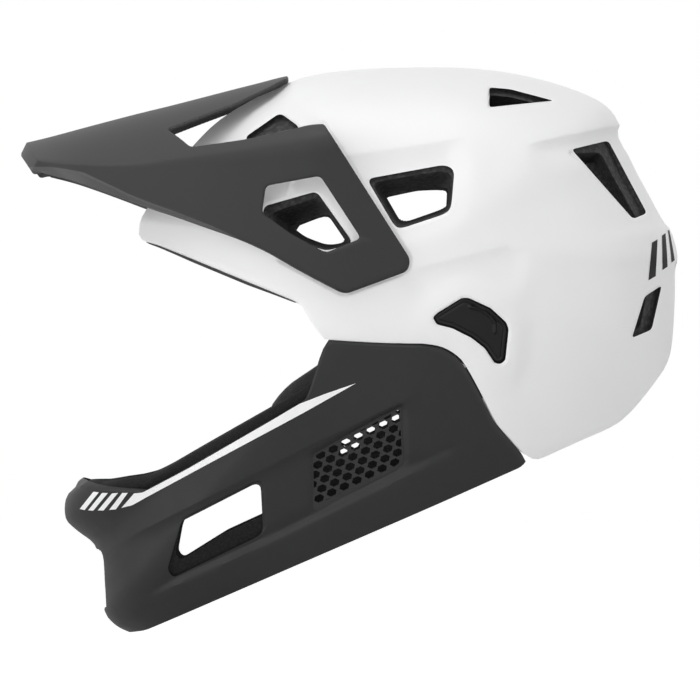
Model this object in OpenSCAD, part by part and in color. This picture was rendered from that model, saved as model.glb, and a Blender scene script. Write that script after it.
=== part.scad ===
// Full-face mountain bike helmet with a lift-off chin guard and a tilting visor.
// The helmet is worn upright: -X is the front, -Y the wearer's left, +Z up.
// The origin is the middle of the head cavity.

/* [Overall] */
// Length of the white body, brow to nape
body_length = 282; // [265:1:300]
// Height of the body and chin guard together
body_height = 296; // [280:1:312]
// Width of the body over the ears
body_width = 214; // [206:1:226]
// How squarely the cross sections fill out
fullness = 2.4; // [2.2:0.05:2.7]

/* [Walls] */
// Wall of the white outer shell
shell_wall = 3; // [2:0.25:3.5]
// Wall of the chin guard
guard_wall = 3; // [2:0.25:3.5]
// Foam thickness inside the chin guard
guard_foam = 13; // [10:0.5:16]
// Wall of the visor
visor_wall = 2.4; // [1.8:0.2:3]
// Gap between foam and shell
foam_gap = 0.3; // [0.2:0.1:0.6]
// Gap along the seam between shell and chin guard
seam_gap = 0.6; // [0.4:0.1:1]
// Depth of the rubber edge trim below the shell
trim_depth = 2; // [1.5:0.25:3]

/* [Head cavity] */
// Length of the head space
head_length = 200; // [192:1:204]
// Width of the head space
head_width = 158; // [150:1:162]
// Height of the head space above the origin
head_crown = 72; // [68:1:75]

/* [Visor] */
// Gap between the body and the visor's arms
arm_gap = 1.3; // [1:0.1:3]
// Half width of the visor's front lip
lip_half = 74; // [60:1:84]
// Radius of the pivot pins
pin_r = 4; // [3:0.25:5]
// Clearance of each pin in its bush
pin_fit = 0.06; // [0.04:0.01:0.1]
// Length of the pivot pins
pin_length = 8; // [7:0.5:9]

/* [Chin guard latch] */
// Travel of the release buttons
button_travel = 3; // [2:0.25:3.25]
// Clearance round the release buttons
button_gap = 0.4; // [0.35:0.05:0.8]
// Width of the hook that enters the latch
hook_width = 11; // [9:0.5:13]
// Thickness of the hook
hook_thick = 2.4; // [2:0.2:2.8]
// Clearance of the hook in its latch
hook_gap = 0.4; // [0.35:0.05:0.6]

/* [Fit dial] */
// Radius of the dial
dial_r = 15; // [13:0.5:17]
// Thickness of the dial
dial_thick = 7; // [6:0.5:9]
// Teeth on the dial's pinion
pinion_teeth = 8; // [8:1:9]
// Tooth size of pinion and racks
tooth_module = 1.5; // [1.4:0.05:1.6]
// Clearance of the racks in their housing
rack_gap = 0.35; // [0.3:0.05:0.5]
// Radius of the dial's spindle
spindle_r = 3; // [2.5:0.25:3.5]

/* [Straps] */
// Width of the webbing
strap_width = 16; // [14:0.5:20]
// Thickness of the webbing
strap_thick = 1.6; // [1.2:0.1:2]
// Travel that pulls the buckle's tongue clear of its socket
buckle_travel = 22; // [20:1:24]

/* [Mesh] */
// Spacing of the hexagonal holes
mesh_pitch = 6.4; // [6:0.2:7.5]
// Size of a hole across its corners
mesh_hole = 5; // [4:0.25:5.5]
// Thickness of the mesh
mesh_thick = 1.6; // [1.2:0.2:2]

/* [Hidden] */

// Outlines are drawn in the side view for a body 282 long and 296 high, then stretched to the sizes above.
stretch_x = body_length / 282;
stretch_z = body_height / 296;
half_width = body_width / 2;
visor_half = half_width + arm_gap;
function at(p) = [p.x * stretch_x, p.y * stretch_z];
function all_at(path) = [for (p = path) at(p)];
// Points round the head are drawn for a head space 200 long and 158 wide
function by_head(path) = [for (p = path) [p.x * head_length / 200, p.y * head_width / 158, p.z]];
function by_body(path) = [for (p = path) [p.x * stretch_x, p.y * half_width / 107, p.z]];

white = [0.93, 0.93, 0.94];
black = [0.17, 0.17, 0.18];
foam = [0.12, 0.12, 0.13];
cloth = [0.2, 0.2, 0.22];
steel = [0.7, 0.7, 0.72];

// Curves through hand-placed points
function curve_point(a, b, c, d, t) =
  0.5 * (2 * b + (c - a) * t + (2 * a - 5 * b + 4 * c - d) * t * t + (3 * b - 3 * c + d - a) * t * t * t);
function smooth(path, steps) = concat(
  [for (i = [0:len(path) - 2]) for (k = [0:steps - 1])
    let (before = path[max(i - 1, 0)], after = path[min(i + 2, len(path) - 1)])
    curve_point(before, path[i], path[i + 1], after, k / steps)],
  [path[len(path) - 1]]);
function run_lengths(path, i = 0, total = 0, found = []) =
  i >= len(path) - 1 ? concat(found, [total])
  : run_lengths(path, i + 1, total + norm(path[i + 1] - path[i]), concat(found, [total]));
function fractions(path) = let (runs = run_lengths(path)) [for (r = runs) r / runs[len(runs) - 1]];
function point_on(path, marks, t) =
  [for (axis = [0:len(path[0]) - 1]) lookup(t, [for (i = [0:len(path) - 1]) [marks[i], path[i][axis]]])];
function resample(path, wanted) = let (marks = fractions(path)) [for (t = wanted) point_on(path, marks, t)];

// The body's mid-plane outline: straight down, chin, face, brow, crown, nape and back to straight down
BODY = all_at([
  [0, -188], [-55, -198], [-112, -199], [-145, -191], [-156, -183], [-157.5, -172], [-159.5, -157],
  [-164, -145.5], [-174, -138], [-179.3, -130], [-178.5, -119], [-172.5, -110.5], [-165, -70],
  [-152, -25], [-141, 17.5], [-137.5, 29], [-126, 47], [-113.5, 62.5], [-99, 76.5], [-78, 89], [-55, 98.5],
  [-30, 102.3], [0, 103.6], [30, 103.3], [55, 100.3], [80, 94], [101, 85], [110, 73.5], [116, 54.5],
  [126, 36], [136, 19], [139.8, 2], [138.8, -18], [137.3, -41], [134, -53], [124, -72], [103, -106],
  [75, -132], [40, -160], [0, -188],
]);
function bearing(p) = let (a = atan2(p.y, -p.x)) a < -90 ? a + 360 : a;
reach_table = [for (p = smooth(BODY, 3)) [bearing(p), norm(p)]];
outline_reach = concat([[-90, reach_table[0][1]]],
  [for (i = [1:len(reach_table) - 2]) reach_table[i]], [[270, reach_table[0][1]]]);
function reach(p) = lookup(bearing(p), outline_reach);
// Half width of the body at a point of the side view
function half_at(p) =
  half_width * pow(max(0, 1 - pow(min(1, norm(p) / reach(p)), fullness)), 1 / fullness);
// A point of the body's skin, sunk inwards by a depth; side is -1 for the wearer's left and 1 for the right
function skin(p, side, depth = 0) =
  let (inward = 1 - depth / reach(p))
  [p.x * inward, side * half_at(p) * (1 - depth / half_width), p.y * inward];

// A closed wall between an outer and an inner grid of points with the same rows and columns
function distinct(points, face) =
  norm(points[face[0]] - points[face[1]]) > 0.001 && norm(points[face[1]] - points[face[2]]) > 0.001
  && norm(points[face[2]] - points[face[0]]) > 0.001;
function six_volumes(points, faces) =
  [for (f = faces) points[f[0]] * cross(points[f[1]], points[f[2]])] * [for (f = faces) 1];
function facing_out(points, faces) =
  six_volumes(points, faces) < 0 ? faces : [for (f = faces) [f[0], f[2], f[1]]];
module wall(outer, inner) {
  rows = len(outer);
  columns = len(outer[0]);
  count = rows * columns;
  points = concat([for (row = outer) each row], [for (row = inner) each row]);
  quads = concat(
    [for (i = [0:rows - 2]) for (j = [0:columns - 2]) let (a = i * columns + j)
      [a, a + 1, a + columns + 1, a + columns]],
    [for (i = [0:rows - 2]) for (j = [0:columns - 2]) let (a = count + i * columns + j)
      [a, a + columns, a + columns + 1, a + 1]],
    [for (j = [0:columns - 2]) [j, j + count, j + count + 1, j + 1]],
    [for (j = [0:columns - 2]) let (a = (rows - 1) * columns + j) [a, a + 1, a + count + 1, a + count]],
    [for (i = [0:rows - 2]) let (a = i * columns) [a, a + columns, a + columns + count, a + count]],
    [for (i = [0:rows - 2]) let (a = i * columns + columns - 1)
      [a, a + count, a + columns + count, a + columns]]);
  faces = [for (q = quads) for (f = [[q[0], q[1], q[2]], [q[0], q[2], q[3]]]) if (distinct(points, f)) f];
  polyhedron(points, facing_out(points, faces));
}

// A side-view outline pushed through the helmet along Y, on one side or on both
module side_prism(outline, near, far, side) {
  rotate([90, 0, 0]) translate([0, 0, side < 0 ? near : -far]) linear_extrude(far - near) polygon(outline);
}
module both_sides(outline, near, far) {
  for (side = [-1, 1]) side_prism(outline, near, far, side);
}
module mirrored(side) {
  if (side < 0) children(); else mirror([0, 1, 0]) children();
}

// Edges in the side view: eye port, seam with the chin guard, nape
PORT = all_at([[-141, 17.5], [-139.5, 13.5], [-130, 9.6], [-115, 3.5], [-100, -2.7], [-85, -8.9], [-72, -14.2],
  [-60.5, -19], [-56.5, -21.5], [-51, -30.5]]);
SEAM = all_at([[-45, -38.5], [-30, -39.6], [-15, -40.5], [-2, -41], [8, -41.2], [17, -43], [25, -48],
  [30, -54.8], [37, -67.6], [44.5, -82], [51, -89.6], [58.5, -98]]);
NAPE = all_at([[62.5, -100.6], [67, -101.4], [78, -96.7], [90, -91.4], [104, -85.4], [111.5, -80.8],
  [118, -74], [124, -66.5], [130, -58.5], [134, -53]]);
shell_edge = concat(PORT, SEAM, NAPE);
crown_line = [for (p = smooth(BODY, 3)) if (bearing(p) >= bearing(PORT[0]) - 0.01
  && bearing(p) <= bearing(NAPE[len(NAPE) - 1]) + 0.01) p];
shell_crown = resample(crown_line, fractions(shell_edge));
rib_steps = 8;
// Side-view points of one rib, from the crown (0) down to the edge (rib_steps)
function rib(i, inset) =
  let (crown = shell_crown[i], edge = shell_edge[i], span = norm(edge - crown),
    stop = span < 0.01 ? 1 : 1 - inset / span)
  [for (k = [0:rib_steps]) crown + (edge - crown) * stop * (1 - cos(90 * k / rib_steps))];
function whole_rib(line, depth) = concat(
  [for (k = [rib_steps:-1:1]) skin(line[k], -1, depth)], [for (p = line) skin(p, 1, depth)]);
function shell_grid(depth, inset = 0, first = 0, last = len(shell_edge) - 1) =
  [for (i = [first:last]) whole_rib(rib(i, inset), depth)];

// Vents in the side view; the windows run right through, the pockets stop in the foam
FRONT_WINDOW = all_at([[-76, 30], [-50, 37.5], [-46.5, 36], [-31, 13], [-32, 10.5], [-43, 7], [-61, 12], [-76, 19]]);
REAR_WINDOW = all_at([[-21.5, 43], [-19.5, 45.5], [16, 52], [21, 50.5], [23, 47], [21.5, 31.5], [18.5, 27],
  [-2.5, 19.7], [-5.5, 19.6], [-7, 21]]);
ROOF_VENT = all_at([[41, 84], [41.5, 92], [47, 92], [55, 90.5], [74, 85.7], [43, 82.4]]);
BACK_VENT = all_at([[84.3, 59.5], [103, 64.3], [123.2, 28.2], [123, 26.8], [116.5, 24], [115, 25], [84.3, 58]]);
NAPE_VENT = all_at([[131, -11], [122.2, -16.6], [120, -20.6], [115.4, -36.4], [116.8, -38.2], [125, -33.8],
  [127.6, -26.5]]);
BROW_VENT = all_at([[-86, 66], [-69.5, 77.8], [-65, 77.8], [-57, 71], [-62, 60], [-78, 56]]);
POCKETS = [ROOF_VENT, BACK_VENT, NAPE_VENT, BROW_VENT];
pocket_depth = 20;
module vents() {
  for (outline = [FRONT_WINDOW, REAR_WINDOW]) side_prism(outline, -half_width, half_width, -1);
  for (outline = POCKETS) {
    middle = [for (axis = [0, 1]) (max([for (p = outline) p[axis]]) + min([for (p = outline) p[axis]])) / 2];
    both_sides(outline, max(18, half_at(middle) - pocket_depth), half_width);
  }
}

// The release button lies on the skin over the ear, tilted to follow it
BUTTON = all_at([[11.5, -27.5], [13.5, -25.3], [26.5, -17.3], [30, -17.3], [41.5, -22.6], [49.5, -30], [50.7, -33.5],
  [49, -49.5], [46.5, -51.5], [43.5, -51], [38.5, -43.5], [31.5, -38], [21.5, -33], [13.5, -31]]);
button_middle = at([33, -33]);
button_yaw = 7;
button_pitch = 4;
module in_button_frame(side) {
  mirrored(side) translate(skin(button_middle, -1)) rotate([button_pitch, 0, button_yaw])
    translate([-button_middle.x, 0, -button_middle.y]) children();
}
module button_block(margin, inside) {
  rotate([90, 0, 0]) translate([0, 0, -inside]) linear_extrude(inside + 6)
    offset(delta = margin) polygon(BUTTON);
}
// A slab between two depths below the skin, round the button
module button_slab(side, from, to) {
  function grid(depth) = [for (i = [0:4]) [for (j = [0:4]) skin(at([4 + 12.5 * i, -12 - 11 * j]), side, depth)]];
  wall(grid(from), grid(to));
}

// The hook's line: the way the chin guard leaves, forwards and down
release_angle = 23;
hook_root = at([-6, -54]);
hook_length = 47;
hook_below_button = 14.8;
hook_y = half_at(button_middle) - hook_below_button;
module along_release(side, along, across, deep) {
  mirrored(side) translate([hook_root.x, -hook_y, hook_root.y]) rotate([0, -release_angle, 0])
    translate([along, deep, across]) children();
}
latch_from = 27;
latch_length = 22;
latch_wall = 1.6;
module latch_block(side, grow) {
  along_release(side, latch_from - grow, -hook_width / 2 - hook_gap - latch_wall - grow,
    -hook_thick / 2 - hook_gap - latch_wall - grow)
    cube([latch_length + latch_wall + 2 * grow, hook_thick + 2 * (hook_gap + latch_wall + grow),
      hook_width + 2 * (hook_gap + latch_wall + grow)]);
}

module outer_shell() {
  color(white) difference() {
    wall(shell_grid(0), shell_grid(shell_wall));
    vents();
    for (side = [-1, 1]) {
      in_button_frame(side) button_block(button_gap, 12);
      mirrored(side) bush_seat(0.05);
    }
  }
}

// Rubber trim that hangs on the eye port edge and on the nape edge
function trim_side(first, last, side, depth, drop) =
  [for (i = [first:last]) let (crown = shell_crown[i], edge = shell_edge[i], span = norm(edge - crown))
    skin(edge + (edge - crown) / max(span, 0.01) * drop, side, depth)];
module trim_strip(first, last) {
  for (side = [-1, 1]) {
    top_out = trim_side(first, last, side, 0.2, 0.15);
    low_out = trim_side(first, last, side, 0.2, trim_depth);
    top_in = trim_side(first, last, side, shell_wall + 1, 0.15);
    low_in = trim_side(first, last, side, shell_wall + 1, trim_depth);
    if (side < 0) wall([top_out, low_out], [top_in, low_in]);
    else wall([low_out, top_out], [low_in, top_in]);
  }
}
module edge_trim() {
  color(black) {
    trim_strip(1, len(PORT) - 1);
    trim_strip(len(PORT) + len(SEAM) + 1, len(shell_edge) - 2);
  }
}

// Foam liner between the shell and the head
liner_depth = shell_wall + foam_gap;
function cavity(point) =
  let (low = point.z < 0 ? 0 : point.z / head_crown,
    scale_to = 1 / sqrt(pow(point.x / (head_length / 2), 2) + pow(point.y / (head_width / 2), 2) + pow(low, 2)))
  point * min(scale_to, 1 - 9 / norm(point));
module foam_liner() {
  outer = shell_grid(liner_depth, 3, 1, len(shell_edge) - 2);
  inner = [for (row = outer) [for (point = row) cavity(point)]];
  color(foam) difference() {
    wall(outer, inner);
    vents();
    for (side = [-1, 1]) {
      in_button_frame(side) button_block(2.5, button_back + button_travel + 4.5);
      latch_block(side, 0.5);
      along_release(side, -30, -hook_width / 2 - 1.5, -20)
        cube([latch_from + 31, hook_thick / 2 + 21.5, hook_width + 3]);
      mirrored(side) bush_seat(0.3);
    }
  }
}

// Soft pads on the wall of the head cavity, between two bearings along and two angles across
function cavity_dir(a, b) = [-cos(a) * cos(b), sin(b), sin(a) * cos(b)];
function pad_rise(s, t) = pow((1 - pow(abs(2 * s - 1), 4)) * (1 - pow(abs(2 * t - 1), 4)), 0.5);
module cavity_pad(a_from, a_to, b_from, b_to, thick) {
  along = 12;
  across = 8;
  function spot(i, j, depth) =
    let (d = cavity_dir(a_from + (a_to - a_from) * i / along, b_from + (b_to - b_from) * j / across),
      far = cavity(1000 * d))
    far * (1 - depth / norm(far));
  wall([for (i = [0:along]) [for (j = [0:across]) spot(i, j, pad_seat)]],
    [for (i = [0:along]) [for (j = [0:across])
      spot(i, j, pad_seat + 2 + (thick - 2) * pad_rise(i / along, j / across))]]);
}
pad_seat = 1.5;
pad_thick = 7;
module brow_pad() {
  color(cloth) cavity_pad(12, 26, -34, 34, pad_thick);
}
module crown_pads() {
  color(cloth) {
    cavity_pad(55, 125, -8, 8, pad_thick);
    for (side = [-1, 1]) cavity_pad(60, 120, side * 31 - 7, side * 31 + 7, pad_thick);
  }
}

// Visor: front lip, roof and two side arms, as rows from the lip to the arms' ends
// Each row: centre [x, z], crease [x, z, step in], lower edge [x, z, step out from the lip's half width]
arm_out = 34.3;
visor_pivot = at([-18, 5]);
VISOR_ROWS = [
  [[-202.5, 61.5], [-197, 60.5, -14], [-192, 50, 0]],
  [[-188, 66.7], [-183, 59.8, -8], [-178, 44.3, 5]],
  [[-165, 72.6], [-161, 55.5, -6.5], [-157, 37.7, 12]],
  [[-142, 78.6], [-140, 53.6, -6], [-137, 29.7, 17.5]],
  [[-126, 82.7], [-124, 55.2, -5.5], [-121, 24.3, 21]],
  [[-110, 86.8], [-108, 57.6, -5], [-105, 18.6, 24.5]],
  [[-95, 90.7], [-93, 59.4, -4.5], [-89, 12.9, 27.5]],
  [[-80, 94.5], [-78, 61.3, -4], [-74, 6.4, 30]],
  [[-63.5, 98.6], [-62, 63.4, -3], [-57, -2.2, 32.4]],
  [[-44, 101], [-44, 66.2, -2.4], [-38.5, -14, arm_out]],
  [[2, 101], [2, 70, -1.6], [2, -14, arm_out]],
];
roof_steps = 5;
roof_arch = 2.2;
function visor_row(row, depth) =
  let (half = row[2][2] + lip_half + (visor_half - lip_half - arm_out) * row[2][2] / arm_out + visor_wall,
    low = at([row[2].x, row[2].y]), crease = at([row[1].x, row[1].y]), middle = at(row[0]),
    crease_half = half + row[1][2])
  concat([[low.x, half - depth, low.y]],
    [for (k = [0:roof_steps]) let (t = 1 - k / roof_steps)
      [middle.x + (crease.x - middle.x) * t * t, t * (crease_half - 0.7 * depth),
        middle.y - depth - (middle.y - crease.y - 0.2 * depth) * pow(t, roof_arch)]]);
function visor_span(row, depth) = let (half_row = visor_row(row, depth), last = len(half_row) - 1) concat(
  [for (p = half_row) [p.x, -p.y, p.z]], [for (k = [last - 1:-1:0]) half_row[k]]);
// Seen from above: what is cut away between the centre tongue and the arms
VISOR_SLOT = [for (p = [[-127, 46], [-117, 78], [-95, 87], [-60, 95.5], [-40, 98.5], [12, 99], [12, -1],
  [-63.5, -1], [-63.5, 24], [-68, 31], [-100, 38]]) [p.x * stretch_x, p.y * half_width / 107]];
VISOR_REAR = all_at([[-45, 73], [-0.5, 3], [-0.2, -0.5], [-1.4, -2.9], [-3.6, -4.7], [-33.3, -14.8], [-35.5, -15],
  [-38.5, -30], [40, -30], [40, 130], [-45, 130]]);
ARM_WINDOW = all_at([[-76.5, 28], [-74.3, 40.5], [-48, 45.2], [-45.8, 44], [-26.5, 14.5], [-26.8, 12.2],
  [-43.7, 6.2], [-61, 16], [-76.5, 25]]);
module visor() {
  color(black) difference() {
    wall([for (row = VISOR_ROWS) visor_span(row, 0)], [for (row = VISOR_ROWS) visor_span(row, visor_wall)]);
    for (side = [-1, 1]) mirrored(side) {
      translate([0, 0, 20]) linear_extrude(120) polygon([for (p = VISOR_SLOT) [p.x, -p.y]]);
      side_prism(VISOR_REAR, visor_half - 12, visor_half + 8, -1);
    }
    both_sides(ARM_WINDOW, visor_half - 12, visor_half + 8);
  }
}
module along_pivot(from, to, r) {
  translate([visor_pivot.x, 0, visor_pivot.y]) rotate([90, 0, 0]) translate([0, 0, from])
    cylinder(r = r, h = to - from, $fn = 48);
}
// Inner face of the arms at the pivots, a little inside their lower edge
arm_face = visor_half - 0.6;
bush_wall = 3.5;
bush_inner = arm_face - pin_length - 1.2;
module bush_seat(gap) {
  along_pivot(bush_inner - gap, half_width + 6, pin_r + pin_fit + bush_wall + gap);
}
module visor_pins() {
  color(black) for (side = [-1, 1]) mirrored(side) along_pivot(arm_face - pin_length, arm_face - 0.1, pin_r);
}
module visor_bushes() {
  color(black) for (side = [-1, 1]) mirrored(side) difference() {
    along_pivot(bush_inner, arm_face - 0.6, pin_r + pin_fit + bush_wall);
    along_pivot(bush_inner - 1, visor_half, pin_r + pin_fit);
  }
}

// Chin guard: a patch between the seam, the arm's top edge, the bottom edge and the chin's profile
GUARD_TOP = all_at([[-45.5, -39.5], [-48.4, -53.6], [-51, -61], [-53.5, -70.3], [-60, -74], [-72, -80.7],
  [-94, -93.4], [-115.5, -105.8], [-138, -117.6], [-150, -117.2], [-158, -115.6], [-165, -113.2],
  [-169.8, -111.6], [-172.5, -110.5]]);
GUARD_BOTTOM = all_at([[58, -105.4], [-137.6, -190.7], [-145, -191]]);
CHIN_PROFILE = all_at([[-172.5, -110.5], [-176, -114.5], [-178.5, -119], [-179.3, -124.5], [-179.3, -130],
  [-177.5, -134.5], [-174, -138], [-168.5, -142], [-164, -145.5], [-161, -151], [-159.5, -157],
  [-157.5, -172], [-156, -183], [-145, -191]]);
guard_rear = concat([for (p = SEAM) p + [-0.8, -1] * seam_gap], all_at([[60.5, -102.6], [58, -105.4]]));
function patch_row(i, rear, top, bottom, front) =
  let (u = fractions(rear)[i], marks = fractions(top), last = len(rear) - 1, end = len(top) - 1)
  [for (j = [0:end]) let (v = marks[j])
    (1 - v) * rear[i] + v * front[i] + (1 - u) * top[j] + u * bottom[j]
    - (1 - u) * ((1 - v) * rear[0] + v * top[end]) - u * ((1 - v) * rear[last] + v * bottom[end])];
function full_row(line, depth, taper) =
  let (end = len(line) - 1, nose = line[end] * reach(line[end]) / norm(line[end]))
  concat([for (j = [0:end - 1]) skin(line[j], -1, tapered(line[j], depth, taper))],
    [skin(nose, 0, depth)],
    [for (j = [end - 1:-1:0]) skin(line[j], 1, tapered(line[j], depth, taper))]);
function tapered(p, depth, taper) = depth - taper * min(1, max(0, p.x / 50));
function guard_grid(depth, rear, top, taper = 0) =
  let (bottom = resample(GUARD_BOTTOM, fractions(top)))
  [for (i = [0:len(rear) - 1]) full_row(patch_row(i, rear, top, bottom, CHIN_PROFILE), depth, taper)];

CHIN_WINDOW = all_at([[-118.5, -133], [-80.3, -113.5], [-77.5, -115.2], [-76.4, -136.2], [-78, -140.2],
  [-121.2, -161.4], [-123.8, -161.7], [-125.6, -157.6], [-124.1, -139.3]]);
MESH_WINDOW = all_at([[-51, -99.7], [-4.8, -74.2], [-3.4, -101.1], [-7.3, -106.1], [-47.1, -126.2], [-50, -124.3]]);
AIR_DUCT = all_at([[-49, -98], [-4, -72.5], [-4, -87], [-49, -112]]);
MOUTH_VENT = [[-27, -152], [-22, -149], [22, -149], [27, -152], [20, -179], [-20, -179]];
module mouth_opening(margin, from, to) {
  rotate([0, 0, 90]) rotate([90, 0, 0]) translate([0, 0, from]) linear_extrude(to - from)
    offset(delta = margin) polygon([for (p = MOUTH_VENT) [p.x, p.y * stretch_z]]);
}
module chin_guard() {
  top = GUARD_TOP;
  color(black) difference() {
    wall(guard_grid(0, guard_rear, top), guard_grid(guard_wall, guard_rear, top));
    side_prism(CHIN_WINDOW, -half_width, half_width, -1);
    both_sides(MESH_WINDOW, 60, half_width + 2);
    mouth_opening(0, -220, -100);
  }
}

// Foam inside the chin guard, standing a little above its arms
FOAM_TOP = all_at([[-49, -46], [-52, -55], [-55, -62], [-57.5, -67], [-64, -71], [-75, -77.5], [-96, -89.5],
  [-117, -101.5], [-138, -113.5], [-150, -115], [-158, -114], [-165, -112], [-169.8, -111], [-172.5, -110.5]]);
foam_rear = concat([FOAM_TOP[0]], [for (i = [1:len(SEAM) - 1]) SEAM[i] + [-3, -5]],
  all_at([[57, -100.5], [54, -103]]));
guard_depth = guard_wall + foam_gap + 1.1;
// The foam thins out behind the ears
foam_taper = 0.8 * guard_foam;
module chin_foam() {
  outer = guard_grid(guard_depth, foam_rear, FOAM_TOP);
  inner = guard_grid(guard_depth + guard_foam, foam_rear, FOAM_TOP, foam_taper);
  color(foam) difference() {
    wall(outer, inner);
    side_prism(CHIN_WINDOW, -half_width, half_width, -1);
    both_sides(AIR_DUCT, 60, half_width);
    for (side = [-1, 1]) {
      mesh_slab(side, 3.6, 1, mesh_thick + 1.4);
      along_release(side, -17, -hook_width / 2 - 1, -20)
        cube([90, hook_thick / 2 + 21, hook_width + 2]);
      latch_block(side, 0.8);
    }
    mouth_opening(0, -220, -100);
    mouth_opening(2.6, -175, mouth_mesh_x + mesh_thick + 0.4);
  }
}

// Flat nets of hexagonal holes behind the openings of the chin guard
module hex_net(outline, margin, row_angle) {
  reach_out = 60;
  steps = floor(reach_out / mesh_pitch);
  linear_extrude(mesh_thick) difference() {
    offset(delta = margin) polygon(outline);
    intersection() {
      offset(delta = -0.6) polygon(outline);
      translate(outline[0] * 0.5 + outline[3] * 0.5) rotate(row_angle)
        for (row = [-steps:steps]) for (column = [-steps:steps])
          translate([(column + (row % 2 == 0 ? 0 : 0.5)) * mesh_pitch, row * mesh_pitch * 0.87])
            rotate(30) circle(d = mesh_hole, $fn = 6);
    }
  }
}
mesh_middle = at([-27, -100]);
mesh_yaw = -1.6;
mesh_pitch_angle = 14;
mesh_depth = guard_wall + 1.6;
mesh_rows = 24;
module in_mesh_frame(side) {
  mirrored(side) translate(skin(mesh_middle, -1)) rotate([mesh_pitch_angle, 0, -mesh_yaw])
    translate([-mesh_middle.x, mesh_depth + mesh_thick, -mesh_middle.y]) rotate([90, 0, 0]) children();
}
module mesh_slab(side, margin, outside, inside) {
  in_mesh_frame(side) translate([0, 0, mesh_thick - inside]) linear_extrude(inside + outside)
    offset(delta = margin) polygon(MESH_WINDOW);
}
module side_mesh(side) {
  color(black) in_mesh_frame(side) hex_net(MESH_WINDOW, 2.4, mesh_rows);
}
mouth_mesh_x = -150.2 * stretch_x;
module front_mesh() {
  color(black) translate([mouth_mesh_x, 0, 0]) rotate([0, 0, 90]) rotate([90, 0, 0])
    hex_net([for (p = MOUTH_VENT) [p.x, p.y * stretch_z]], 2, 0);
}

// Cheek pads: cushions on the foam of the chin guard
CHEEK = all_at([[-44, -48], [-53, -54], [-62, -60], [-75, -70], [-87, -81], [-89, -88], [-84, -94], [-74, -100],
  [-62, -98], [-48, -91], [-34, -83], [-20, -75], [-8, -67], [-2, -60], [-6, -52], [-20, -48], [-34, -46]]);
cheek_middle = at([-46, -70]);
cheek_thick = 19;
cheek_seat = 1.1;
// Each ring of the cushion: share of the outline's size, share of the thickness
CUSHION_RINGS = [[0.9, 0], [0.99, 0.12], [1.03, 0.35], [1, 0.62], [0.9, 0.82], [0.72, 0.94], [0.42, 1]];
function lining_half(p, depth) =
  let (out = p / (1 - depth / reach(p))) half_at(out) * (1 - depth / half_width);
module cheek_pad(side) {
  depth = guard_depth + guard_foam + cheek_seat;
  around = smooth(concat(CHEEK, [CHEEK[0]]), 2);
  count = len(around) - 1;
  function ring(share, rise) = [for (i = [0:count - 1])
    let (p = cheek_middle + (around[i] - cheek_middle) * share)
    [p.x, side * (lining_half(p, depth) - cheek_thick * rise), p.y]];
  rings = [for (r = CUSHION_RINGS) ring(r[0], r[1])];
  levels = len(rings);
  base = [cheek_middle.x, side * lining_half(cheek_middle, depth), cheek_middle.y];
  top = base - [0, side * cheek_thick, 0];
  points = concat([for (r = rings) each r], [base, top]);
  faces = concat(
    [for (k = [0:levels - 2]) for (i = [0:count - 1]) for (f = [
      [k * count + i, k * count + (i + 1) % count, (k + 1) * count + (i + 1) % count],
      [k * count + i, (k + 1) * count + (i + 1) % count, (k + 1) * count + i]]) f],
    [for (i = [0:count - 1]) [(i + 1) % count, i, levels * count]],
    [for (i = [0:count - 1]) let (a = (levels - 1) * count)
      [a + i, a + (i + 1) % count, levels * count + 1]]);
  color(cloth) polyhedron(points, facing_out(points, faces));
}

// Latches: the guard's hook slides into a housing in the shell, under the release button
module hook(side) {
  shelf_y = half_at(hook_root) * (1 - guard_wall / half_width) - hook_y - 0.1;
  color(black) difference() {
    union() {
      along_release(side, 0, -hook_width / 2, -hook_thick / 2)
        cube([hook_length, hook_thick, hook_width]);
      along_release(side, -16, -hook_width / 2, -shelf_y + 1.2)
        cube([20, shelf_y - 1.2 + hook_thick / 2, hook_width]);
    }
    along_release(side, hook_length - 10, -3, -10) cube([5, 20, 6]);
  }
}
module latch(side) {
  color(black) difference() {
    latch_block(side, 0);
    along_release(side, latch_from - 1, -hook_width / 2 - hook_gap, -hook_thick / 2 - hook_gap)
      cube([latch_length + 1, hook_thick + 2 * hook_gap, hook_width + 2 * hook_gap]);
  }
}
spring_r = 3;
flange_from = shell_wall + 1.1;
button_back = flange_from + 1.4;
module release_button(side) {
  color(black) difference() {
    union() {
      intersection() {
        in_button_frame(side) button_block(0, 12);
        button_slab(side, 0.4, button_back);
      }
      intersection() {
        in_button_frame(side) button_block(1.6, 12);
        button_slab(side, flange_from, button_back);
      }
    }
    intersection() {
      in_button_frame(side) button_rim();
      button_slab(side, -1, 0.9);
    }
  }
}
module button_rim() {
  rotate([90, 0, 0]) translate([0, 0, -8]) linear_extrude(14) difference() {
    offset(delta = -1.6) polygon(BUTTON);
    offset(delta = -2.3) polygon(BUTTON);
  }
}
module button_spring(side) {
  latch_face = hook_y + hook_thick / 2 + hook_gap + latch_wall;
  length = half_at(button_middle) - latch_face - button_back - 1;
  color(steel) in_button_frame(side) translate([button_middle.x, button_back + 0.3, button_middle.y])
    rotate([-90, 0, 0]) difference() {
      cylinder(r = spring_r, h = length, $fn = 32);
      translate([0, 0, -1]) cylinder(r = spring_r - 0.8, h = length + 2, $fn = 32);
    }
}

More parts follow.
